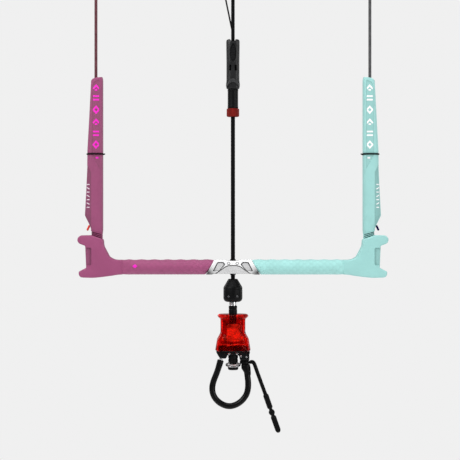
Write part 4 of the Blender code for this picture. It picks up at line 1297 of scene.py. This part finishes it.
def float_skin(side):
    """The float's rings and how dark each point is: level in the middle, slanting at both ends,
    with a sunk panel above and a stepped edge below. The panels are darker, and painted shade
    runs along their steps, along the inner edge and round the waist under the bungee."""
    rings, shades = [], []
    for xo, zo in even_path(FLOAT_OUTER, 420):
        up, last = zo - FLOAT_FOOT, np.clip((zo - 296.0) / 4.8, 0, 1)
        zi = zo - 4.0 * np.clip(1 - up / 20.0, 0, 1) + 4.6 * np.clip((zo - 284.0) / 16.0, 0, 1) ** 2
        xi = FLOAT_INNER + 0.6 * np.clip(1 - up / 5.0, 0, 1) + 1.2 * last**2
        depth = np.interp(zo, *zip(*FLOAT_DEPTHS))
        end = min(zo - 57.6, 301.4 - zo)
        depth -= 1.5 * np.clip(1 - end / 2.4, 0, 1) ** 2
        xy = squircle((xo - xi) / 2, depth, 96, FLOAT_POWER)
        x = xy[:, 0] + (xo + xi) / 2
        share = np.clip((x - xi) / (xo - xi), 0, 1)
        crown = 1.6 * last * np.sin(np.pi * (1 - share) ** 0.6)
        z = zi + (zo - zi) * share + crown
        flat = np.clip((np.abs(xy[:, 1]) - depth * 0.55) / (depth * 0.25), 0, 1)
        in_upper, in_lower = (inside_polygon(x, z, one) for one in (UPPER_PANEL, LOWER_PANEL))
        upper, lower = np.clip(in_upper / 0.9, 0, 1) * flat, np.clip(in_lower / 0.9, 0, 1)
        # Painted shade along the panel steps.
        lines = np.maximum(edge_line(in_upper) * flat, edge_line(in_lower))
        waist = np.clip(1 - ((zo - BUNGEE_Z) / 2.0) ** 2, 0, 1)
        sunk = 0.7 * upper + 0.75 * lower * flat + 0.75 * waist
        y = xy[:, 1] - np.sign(xy[:, 1]) * np.minimum(np.abs(xy[:, 1]), sunk)
        x = x - (x - (xo + xi) / 2) / ((xo - xi) / 2) * (0.7 * waist + 0.35 * lower)
        rings.append(np.column_stack([side * x, y, z]))
        # Painted shade in the waist under the bungee; the panels are simply darker.
        panels = 0.35 * upper + 0.8 * lower * np.maximum(flat, 0.55) + 0.5 * waist
        # Painted shade along the inner edge, which turns away from the light.
        inner = np.clip(1 - (x - xi) / 1.6, 0, 1) * 0.6
        shades.append(np.clip(panels + 0.9 * lines + inner, 0, 1.6))
    return rings, np.concatenate(shades)


def make_float(paint, side, word):
    rings, shades = float_skin(side)
    foam = skinned(f"float_foam_{word}", rings, paint["float_" + word], sharp=60)
    shaded(foam, shades)
    place = (side * LEADER_X, 0)
    carve(foam, drill(LEADER_BORE, 40.0, 330.0, paint["inside_shade"], at=place, along="Z"), sharp=60)
    fit(foam, f"float_{word}", HUE[word] + "_float", f"float_{word}")


def band(points, width):
    """An outline round a polyline, with this width."""
    p = np.asarray(points, float)
    way = np.gradient(p, axis=0)
    way /= np.linalg.norm(way, axis=1)[:, None]
    aside = np.stack([-way[:, 1], way[:, 0]], axis=1) * width / 2
    return np.concatenate([p + aside, (p - aside)[::-1]]).tolist()


def float_front(x, z, sunk):
    """How far forward the float's front reaches, on a panel sunk this much."""
    outer = np.interp(z, *zip(*[(zo, xo) for xo, zo in FLOAT_OUTER]))
    depth = np.interp(z, *zip(*FLOAT_DEPTHS))
    middle, half = (outer + FLOAT_INNER) / 2, (outer - FLOAT_INNER) / 2
    away = np.clip(np.abs(x - middle) / half, 0, 0.99)
    return depth * (1 - away**FLOAT_POWER) ** (1 / FLOAT_POWER) - sunk


def stroke_sides(points, width, pieces=7):
    """Both sides of a polyline of this width with mitred corners, each segment cut in pieces. A
    polyline that ends where it starts is closed."""
    p = np.asarray(points, float)
    way = np.diff(p, axis=0)
    way /= np.linalg.norm(way, axis=1)[:, None]
    aside = np.stack([-way[:, 1], way[:, 0]], axis=1)
    closed = np.allclose(p[0], p[-1])
    before = np.vstack([aside[-1:] if closed else aside[:1], aside])
    after = np.vstack([aside, aside[:1] if closed else aside[-1:]])
    corner = 1 + (before * after).sum(axis=1)
    off = (before + after) / corner[:, None] * width / 2
    t = np.linspace(0, len(p) - 1, (len(p) - 1) * pieces + 1)
    sides = []
    for edge in (p + off, p - off):
        sides.append(np.stack([np.interp(t, range(len(p)), c) for c in edge.T], axis=1))
    return sides


def make_strokes(name, strokes, side, paint, word, sunk):
    """Printed strokes that follow the float's front face, each of a polyline and a width."""
    vertices, faces = [], []
    for points, width in strokes:
        left, right = stroke_sides(points, width)
        first, count = len(vertices), len(left)
        for a, b in zip(left, right):
            for lift in (0.16, -0.5):
                for x, z in (a, b):
                    vertices.append((side * x, -(float_front(x, z, sunk) + lift), z))
        for i in range(count):
            here, there = first + 4 * i, first + 4 * (i + 1)
            if i in (0, count - 1):
                faces.append((here, here + 1, here + 3, here + 2))
            if i < count - 1:
                for a, b in ((0, 1), (1, 3), (3, 2), (2, 0)):
                    faces.append((here + a, here + b, there + b, there + a))
    made = shaped(name, vertices, faces, paint)
    fit(made, f"float_{word}", HUE[word] + "_float")


def make_marks(paint, side, word):
    """Plain shapes in the places where such bars carry lettering: chevrons, bars and diamonds up
    the float, and a row of short strokes along its outer edge."""
    x, stroke = 219.4, 2.7
    strokes = []
    for i, z in enumerate((289.0, 271.5, 252.5, 234.0, 214.5, 196.5)):
        if i % 3 == 0:
            strokes.append(([(x - 4.9, z - 3.0), (x, z + 2.6), (x + 4.9, z - 3.0)], stroke))
            strokes.append(([(x - 2.0, z - 4.6), (x + 2.0, z - 4.6)], stroke))
        elif i % 3 == 1:
            for rise in (-2.9, 2.9):
                strokes.append(([(x - 5.0, z + rise), (x + 5.0, z + rise)], stroke))
        else:
            ends = [(x, z + 5.0), (x + 4.5, z), (x, z - 5.0), (x - 4.5, z), (x, z + 5.0)]
            strokes.append((ends, stroke))
    strokes.append(([(x - 3.8, 175.4), (x + 0.6, 175.4)], stroke))
    make_strokes(f"float_marks_{word}", strokes, side, paint["mark_" + word], word, 0.7)
    row = []
    for i in range(7):
        z = 96.0 + 6.1 * i
        row.append(([(229.9, z - 1.4 * (i % 2)), (234.4, z + 1.4 * (i % 2))], 1.5))
    make_strokes(f"float_dashes_{word}", row, side, paint["small_" + word], word, 0.75)


def make_bungee(paint, side, word):
    """The elastic round the float's waist, with its knot on the inner side."""
    centre = side * 221.45
    elastic, level = paint["elastic"], {"across": UP}
    xy = squircle(13.13, 11.85, 260, 3.2)
    path = np.column_stack([xy[:, 0] + centre, xy[:, 1], np.full(260, BUNGEE_Z)])
    path = even_path(np.vstack([path, path[:1]]), 241)[:-1]
    cord = braided(f"float_bungee_{word}", path, 1.12, elastic, 6, 18, 0.12, closed=True, **level)
    fit(cord, f"float_{word}", "black_rope", f"bungee_{word}")
    route = ((205.7, -0.2, 0.6), (206.6, -1.1, 0.2), (207.2, -2.4, -0.3), (206.7, -3.6, -0.9))
    route = [(side * x, y, BUNGEE_Z + z) for x, y, z in route]
    radii = [0.8, 1.15, 1.1, 0.75]
    knot = swept(f"bungee_knot_{word}", route, radii, elastic, sides=16, sharp=80, **level)
    knot.modifiers.new("smooth", "SUBSURF").render_levels = 2
    fit(knot, f"float_{word}", "black_rope")


def make_tab(paint, side, word):
    knots = [(230.6, -1.0, 67.2), (232.0, -1.6, 64.2), (233.2, -1.6, 61.6), (234.4, -1.0, 58.9)]
    path = smooth_path([(side * x, y, z) for x, y, z in knots], 46)
    run = run_of(path)
    radius = 1.7 * np.clip(np.minimum(run + 0.4, run[-1] - run + 0.25) / 0.9, 0.2, 1) ** 0.5
    tab = braided(f"pull_tab_{word}", path, radius, paint["tab_" + word], 6, 20, 0.12)
    slot = {"left": "red_tab", "right": "navy_tab"}[word]
    fit(tab, f"float_{word}", slot, f"float_tab_{word}")


# ---------------------------------------------------------------- release


def make_guide(paint):
    profile = [(4.9, -56.7), (6.1, -56.7), (6.1, -57.9), (5.75, -58.2), (5.75, -58.8), (6.1, -59.1)]
    profile += [(6.1, -60.4), (5.8, -60.7), (5.8, -61.1), (6.1, -61.4), (6.1, -62.0), (4.9, -62.0)]
    collar = turned("collar_ring", profile, paint["bright"], steps=56, soft=0.15)
    fit(collar, "release_unit", "steel", "swivel_collar")
    profile = [(4.9, -62.3), (6.3, -62.3), (6.8, -63.0), (6.8, -66.4), (6.4, -66.9), (6.4, -68.0)]
    profile += [(6.8, -68.5), (6.8, -77.0), (5.9, -78.0), (5.9, -90.8), (10.4, -91.2)]
    profile += [(10.4, -93.0), (4.9, -93.0)]
    guide = turned("guide_sleeve", profile, paint["shell"], steps=56, soft=0.3)
    fit(guide, "release_unit", "black_shell", "guide_tube")


def make_coil(paint):
    """The release spring, which shortens as the handle is pushed up."""
    low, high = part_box("release_spring")
    bottom, top = (low.z - BAR_Z) / MM + 0.6, (high.z - BAR_Z) / MM - 0.6
    turns = 6
    a = np.linspace(0, TURN * turns, turns * 30)
    rise = np.linspace(bottom, top, len(a))
    path = np.stack([8.0 * np.cos(a), 8.0 * np.sin(a), rise], axis=1)
    coil = swept("release_coil", path, 0.6, paint["steel"], sides=10, across=UP, sharp=80)
    fit(coil, "release_unit", "steel", "release_spring")
    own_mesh(coil)


HANDLE_POWER = 2.7
HANDLE_SECTIONS = ((-75.7, 22.6, 16.6), (-77.2, 24.3, 18.2), (-78.6, 24.8, 18.6))
HANDLE_SECTIONS += ((-80.0, 23.8, 17.8), (-83.0, 20.4, 16.2), (-85.5, 20.0, 16.0))
HANDLE_SECTIONS += ((-103.5, 20.0, 16.0), (-107.0, 20.8, 16.4), (-115.3, 25.4, 18.6))
HANDLE_SECTIONS += ((-125.0, 27.0, 19.5), (-132.6, 28.3, 20.2), (-133.9, 27.9, 19.9))


def make_handle(paint):
    """A waisted shell with a room for the spring and a skirt round the block. Its front carries
    a panel, a shoulder and a ridge, which are bent onto it."""
    red = paint["handle"]
    upper = ((-79.8, 17.0, 13.0), (-104.6, 17.4, 13.4), (-114.6, 20.0, 15.0), (-122.3, 21.6, 15.6))
    lower = ((-124.8, 24.2, 16.6), (-134.0, 26.3, 18.0), (-140.0, 26.6, 18.2))
    handle = level_loft("handle_shell", even_sections(HANDLE_SECTIONS), red, 96, HANDLE_POWER, 3)
    room = level_loft("room", even_sections(upper), red, 64, 2.7)
    skirt = level_loft("skirt", even_sections(lower), red, 64, 2.8)
    mouth = drill(7.3, -85.0, -70.0, red, along="Z")
    hole = drill(6.0, -130.0, -118.0, red, along="Z")
    carve(handle, room, skirt, mouth, hole, edge=0.25)
    fit(handle, "release_handle", "red_handle", "release_handle")
    panel = [(-10.2, -92.5), (-7.4, -90.6), (8.6, -90.6), (11.4, -92.5), (11.0, -104.5)]
    panel += [(11.6, -112.0), (12.6, -118.0), (-11.6, -118.0), (-10.6, -112.0), (-9.8, -104.5)]
    shoulder = [(-16.6, -110.6), (16.6, -110.6), (18.6, -117.2)]
    shoulder += [(9.0, -118.4), (-9.0, -118.4), (-18.6, -117.2)]
    ridge = [(-10.4, -126.2), (-9.6, -124.2), (10.6, -121.2), (11.2, -123.0)]
    for name, outline, half, soft, rim, lift in (
        ("handle_front_panel", panel, 0.6, 1.4, 0.5, 0.15),
        ("handle_shoulder", shoulder, 0.5, 1.2, 0.4, 0.05),
        ("handle_ridge", ridge, 0.6, 0.6, 0.5, 0.2),
    ):
        plate = slab(name, outline, -half, half, paint["handle_panel"], soft=soft, rim=rim)
        bent_onto_handle(subdivided(plate), lift)
        fit(plate, "release_handle", "red_handle")


def subdivided(piece, grid=1.2):
    """The piece cut along upright planes, so that it can bend."""
    mesh = bmesh.new()
    mesh.from_mesh(piece.data)
    xs = [v.co.x for v in mesh.verts]
    for x in np.arange(min(xs) + grid * MM, max(xs), grid * MM):
        everything = mesh.verts[:] + mesh.edges[:] + mesh.faces[:]
        bmesh.ops.bisect_plane(mesh, geom=everything, plane_co=(x, 0, 0), plane_no=(1, 0, 0))
    mesh.to_mesh(piece.data)
    mesh.free()
    smoothed(piece.data, 38.0)
    return piece


def bent_onto_handle(piece, lift):
    """Lays a flat piece on the handle's front, standing this far off it."""
    heights, widths, depths = zip(*HANDLE_SECTIONS[::-1])
    for point in piece.data.vertices:
        x, z = point.co.x / MM, (point.co.z - BAR_Z) / MM
        half = np.interp(z, heights, widths)
        away = (1 - min(0.98, abs(x) / half) ** HANDLE_POWER) ** (1 / HANDLE_POWER)
        point.co.y -= (np.interp(z, heights, depths) * away + lift) * MM


def make_block(paint):
    skin = paint["block"]
    core = ((-135.6, 24.2, 13.0), (-134.4, 24.0, 13.4), (-127.0, 22.0, 13.6), (-125.9, 21.0, 12.8))
    block = level_loft("release_block", even_sections(core), skin, count=56)
    lobe = [(-27.3, -135.7), (-26.1, -137.5), (-24.4, -141.0), (-22.5, -143.9), (-19.6, -146.5)]
    lobe += [(-11.8, -146.8), (-9.5, -143.9), (-8.3, -140.9), (-6.9, -139.9), (-6.9, -134.6)]
    lobe += [(-22.0, -134.8), (-22.6, -135.7)]
    fork = [(-8.0, -134.6), (-8.0, -141.3), (8.6, -141.3), (10.2, -143.0), (10.9, -148.0)]
    fork += [(12.4, -149.1), (24.4, -149.1), (25.6, -147.6), (25.6, -143.5), (27.2, -137.2)]
    fork += [(27.3, -135.7), (22.6, -135.7), (22.0, -134.8)]
    lobe = slab("lobe", lobe, -10.5, 10.5, skin, soft=1.2, rim=1.5)
    fuse(block, lobe, slab("fork", fork, -11.0, 11.0, skin, soft=0.9, rim=1.4))
    tools = [slab("slot", oblong(9.2, -160.0, 40.0, -136.0), -6.8, 6.8, skin)]
    tools.append(drill(4.9, -131.0, -120.0, skin, along="Z"))
    tools.append(drill(4.0, -150.0, -133.0, skin, at=(POST_X, 0), along="Z"))
    tools.append(drill(2.7, -150.0, -139.0, skin, at=(CATCH_X, 0), along="Z"))
    tools.append(drill(2.2, -12.4, 12.4, skin, at=HINGE_PIN))
    for x, z, r in ((-6.0, -138.8, 2.1), (6.6, -138.6, 2.1), (13.0, -142.6, 1.9)):
        tools.append(drill(r, -13.0, -10.0, paint["inside_shade"], at=(x, z)))
    carve(block, *tools, edge=0.3)
    fit(block, "release_unit", "black_shell", "release_body")
    for word in ("left", "middle", "right"):
        socket_screw(f"release_screw_{word}", "release_unit", paint["bright"])
    profile = [(0, -10.6), (1.5, -10.6), (1.9, -10.2), (1.9, 10.2), (1.5, 10.6), (0, 10.6)]
    place = (HINGE_PIN[0], 0, HINGE_PIN[1])
    pin = turned("hinge_pin", profile, paint["bright"], at=place, along="Y", soft=0.2)
    fit(pin, "release_unit", "steel", "loop_hinge_pin")


def make_leash(paint):
    profile = [(0, -134.0), (3.7, -134.0), (3.7, -141.8), (7.9, -142.2), (7.9, -146.6)]
    profile += [(7.3, -147.2), (7.3, -148.4), (7.9, -149.0), (7.9, -150.9), (7.5, -151.3)]
    profile += [(7.5, -152.1), (7.9, -152.5), (7.7, -153.6), (5.2, -153.9), (5.2, -158.0)]
    profile += [(3.0, -160.2), (3.0, -162.6), (0, -162.6)]
    post = turned("leash_stem", profile, paint["shell"], at=(POST_X, 0, 0), steps=56, soft=0.25)
    fit(post, "release_unit", "black_shell", "leash_post")
    profile = [(0, -165.5), (7.0, -165.5), (8.1, -164.4), (8.6, -161.5), (8.2, -161.0)]
    profile += [(3.3, -161.0), (3.3, -163.0), (0, -163.0)]
    cap = turned("leash_cap", profile, paint["shell"], at=(POST_X, 0, 0), steps=56, soft=0.4)
    dimples = []
    for x, y in ellipse((POST_X, 0), 8.9, 8.9, 12):
        dimples.append(drill(0.75, -167.0, -162.0, paint["shell"], at=(x, y), along="Z", steps=14))
    carve(cap, *dimples, edge=0.12)
    fit(cap, "release_unit", "black_shell", "leash_post_cap")
    make_ring(paint)


def make_ring(paint):
    """A hoop of round wire with a domed hub on a web, all slightly tilted."""
    steel, edge = paint["satin"], paint["rim_steel"]
    path = [(x, y, RING_Z) for x, y in ellipse((POST_X, 0), 11.1, 11.1, 120)]
    hoop = swept("leash_hoop", path, 1.25, edge, sides=20, closed=True, across=UP, sharp=80)
    hub = [(5.6, -1.9), (8.0, -1.6), (8.9, -0.6), (8.9, 0.6), (8.0, 1.6), (5.6, 1.9)]
    hub = turned("hub", hub, steel, at=(POST_X, 0, RING_Z), soft=0.3)
    web = [(8.4, -0.8), (11.1, -0.8), (11.1, 0.9), (10.7, 1.1), (8.6, 1.1), (8.4, 0.9)]
    web = turned("web", web, steel, at=(POST_X, 0, RING_Z))
    fuse(hoop, hub, web, sharp=50)
    for point in hoop.data.vertices:
        point.co.z += point.co.y * RING_TILT
    fit(hoop, "leash_ring", "steel", "leash_ring")


# ---------------------------------------------------------------- loop


LOOP_R = 4.9
LOOP_KNOTS = ((-19.6, -149.7), (-23.6, -163.4), (-27.3, -173.9), (-31.3, -183.5), (-33.5, -194.0))
LOOP_KNOTS += ((-32.5, -203.8), (-28.8, -211.2), (-20.3, -219.5), (-5.5, -224.5), (9.3, -219.5))
LOOP_KNOTS += ((18.9, -210.1), (23.3, -201.4), (24.7, -189.8), (24.1, -180.0), (23.1, -172.9))
LOOP_KNOTS += ((22.2, -166.0),)


def hose_path():
    """The hose's middle line, from its left end round to the arm, evened out between the knots."""
    path = smooth_path([(x, 0, z) for x, z in LOOP_KNOTS], 240)
    for _ in range(80):
        path[1:-1] = (path[:-2] + 2 * path[1:-1] + path[2:]) / 4
    return path


def make_loop(paint):
    path = hose_path()
    run = run_of(path)
    left = run[-1] - run
    radius = np.full(len(path), LOOP_R)
    radius += 0.35 * np.clip(1 - run / 12.0, 0, 1) ** 0.35
    radius -= 0.9 * np.clip(1 - run / 1.0, 0, 1) ** 2 + 0.5 * np.clip(1 - left / 0.8, 0, 1) ** 2
    hose = swept("loop_hose", path, radius, paint["loop"], sides=40, sharp=60)
    fit(hose, "harness_loop", "loop_rubber", "loop_tube")
    profile = [(0, -149.7), (3.4, -149.4), (3.4, -148.6), (1.9, -147.8), (1.9, -144.2)]
    profile += [(1.5, -143.9), (1.5, -143.3), (1.9, -143.0), (1.9, -141.6), (1.2, -140.8)]
    profile += [(0, -140.6)]
    pin = turned("catch_pin", profile, paint["bright"], at=(CATCH_X, 0, 0), soft=0.2)
    fit(pin, "harness_loop", "steel", "loop_catch_pin")


def make_arm(paint):
    """A tongue on the hinge pin, and the sleeve under it that holds the hose's right end."""
    skin = paint["finger"]
    outline = [(16.9, -147.9), (11.6, -149.4), (11.4, -151.1), (25.6, -151.1), (26.4, -148.4)]
    outline += [(26.6, -143.0), (24.9, -139.9), (21.7, -138.6), (18.5, -139.9), (16.9, -143.0)]
    tongue = slab("arm_sleeve", outline, -6.3, 6.3, skin, soft=1.4, rim=0.9)
    sections = [(-172.4, 18.0, 28.3, 5.2, -0.42), (-171.4, 17.2, 28.8, 6.1, -0.42)]
    sections += [(-168.0, 15.6, 28.9, 6.9, -0.28), (-163.9, 13.9, 28.5, 7.5)]
    sections += [(-161.6, 13.5, 28.3, 7.7), (-157.4, 13.3, 27.6, 7.6), (-156.6, 13.6, 27.0, 7.2)]
    sections += [(-156.2, 14.0, 25.2, 5.6), (-155.8, 14.0, 24.4, 5.2), (-150.0, 13.8, 24.2, 5.2)]
    sleeve = level_loft("sleeve", sections, skin, count=56, power=2.2, fine=3)
    fuse(tongue, sleeve)
    bore = swept("bore", hose_path()[-16:] + (0, 0, -0.1), LOOP_R + 0.1, skin, sides=40)
    carve(tongue, drill(2.2, -8.0, 8.0, skin, at=HINGE_PIN), bore, edge=0.2)
    fit(tongue, "harness_loop", "black_shell", "loop_arm")


def make_finger(paint):
    """A collar on the arm and a rod that bends out of it and down. Its lower part swells and
    narrows along its length and has fine grip rings."""
    skin = paint["finger"]
    profile = [(5.9, -155.6), (7.9, -155.6), (7.9, -151.4), (5.9, -151.4)]
    collar = turned("finger_ring", profile, skin, at=(18.9, 0, 0), steps=56, soft=0.5)
    route = [(25.4, -153.5), (27.8, -153.2), (29.6, -152.8), (31.6, -152.8), (33.6, -154.6)]
    route += [(35.4, -158.4), (40.6, -173.0), (46.3, -188.6), FINGER_TOP]
    bend = smooth_path([(x, 0, z) for x, z in route], 90)
    lean = math.radians(FINGER_LEAN)
    way = np.array([math.sin(lean), 0.0, -math.cos(lean)])
    down = np.arange(0.25, 66.0, 0.25)
    grip = bend[-1] + way * down[:, None]
    shape = [(0, 2.9), (2.4, 4.2), (4.0, 4.35), (22.0, 4.35), (23.4, 3.9), (25.2, 2.6)]
    shape += [(27.0, 2.6), (28.2, 3.9), (30.4, 4.7), (32.4, 4.7), (34.6, 3.6), (36.2, 2.6)]
    shape += [(37.4, 3.2), (39.2, 4.2), (41.0, 4.35), (60.0, 4.35), (63.4, 3.6), (65.2, 2.2)]
    shape += [(66.0, 0.4)]
    radius = np.interp(down, *zip(*shape)) + 0.2
    for start, end in ((4.5, 22.0), (41.5, 60.5)):
        on = (down > start) & (down < end)
        radius = radius - np.where(on, 0.28 * (0.5 + 0.5 * np.cos(TURN * (down - start) / 2.5)), 0)
    path = np.vstack([bend, grip])
    start = np.clip(1.9 + 0.25 * np.arange(len(bend)), 0, 3.1)
    stem = swept("finger_stem", path, np.concatenate([start, radius]), skin, sides=36, sharp=60)
    fit(stem, "locking_finger", "finger_urethane", "locking_finger")
    fit(collar, "locking_finger", "finger_urethane", "finger_collar")


# ---------------------------------------------------------------- what the CAD keeps


KEPT = {
    "swivel_shaft": "steel",
    "swivel_bearing": "steel",
    "bar_tube_left": "alloy",
    "bar_tube_right": "alloy",
    "leader_inner_left": "leader_left",
    "leader_inner_right": "leader_right",
    "leader_anchor_left": "leader_left",
    "leader_anchor_right": "leader_right",
}


def dress_kept(paint):
    for node, key in KEPT.items():
        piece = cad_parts[node]
        piece.data.materials.clear()
        piece.data.materials.append(paint[key])
        smoothed(piece.data, 35.0)


def main():
    make_camera()
    make_studio()
    paint = {**rope_paints(), **hard_paints(), **coloured_paints()}
    make_trim_cord(paint)
    make_safety_cord(paint)
    for side, word in SIDES:
        make_leader(paint, side, word)
    make_depower_rope(paint)
    make_cleat(paint)
    make_swivel(paint)
    make_insert(paint)
    make_bush(paint)
    for side, word in SIDES:
        make_grip(paint, side, word)
        make_bar_end(paint, side, word)
        make_neck(paint, side, word)
        make_float(paint, side, word)
        make_marks(paint, side, word)
        make_bungee(paint, side, word)
        make_tab(paint, side, word)
    make_grip_mark(paint)
    make_guide(paint)
    make_coil(paint)
    make_handle(paint)
    make_block(paint)
    make_leash(paint)
    make_loop(paint)
    make_arm(paint)
    make_finger(paint)
    dress_kept(paint)


main()
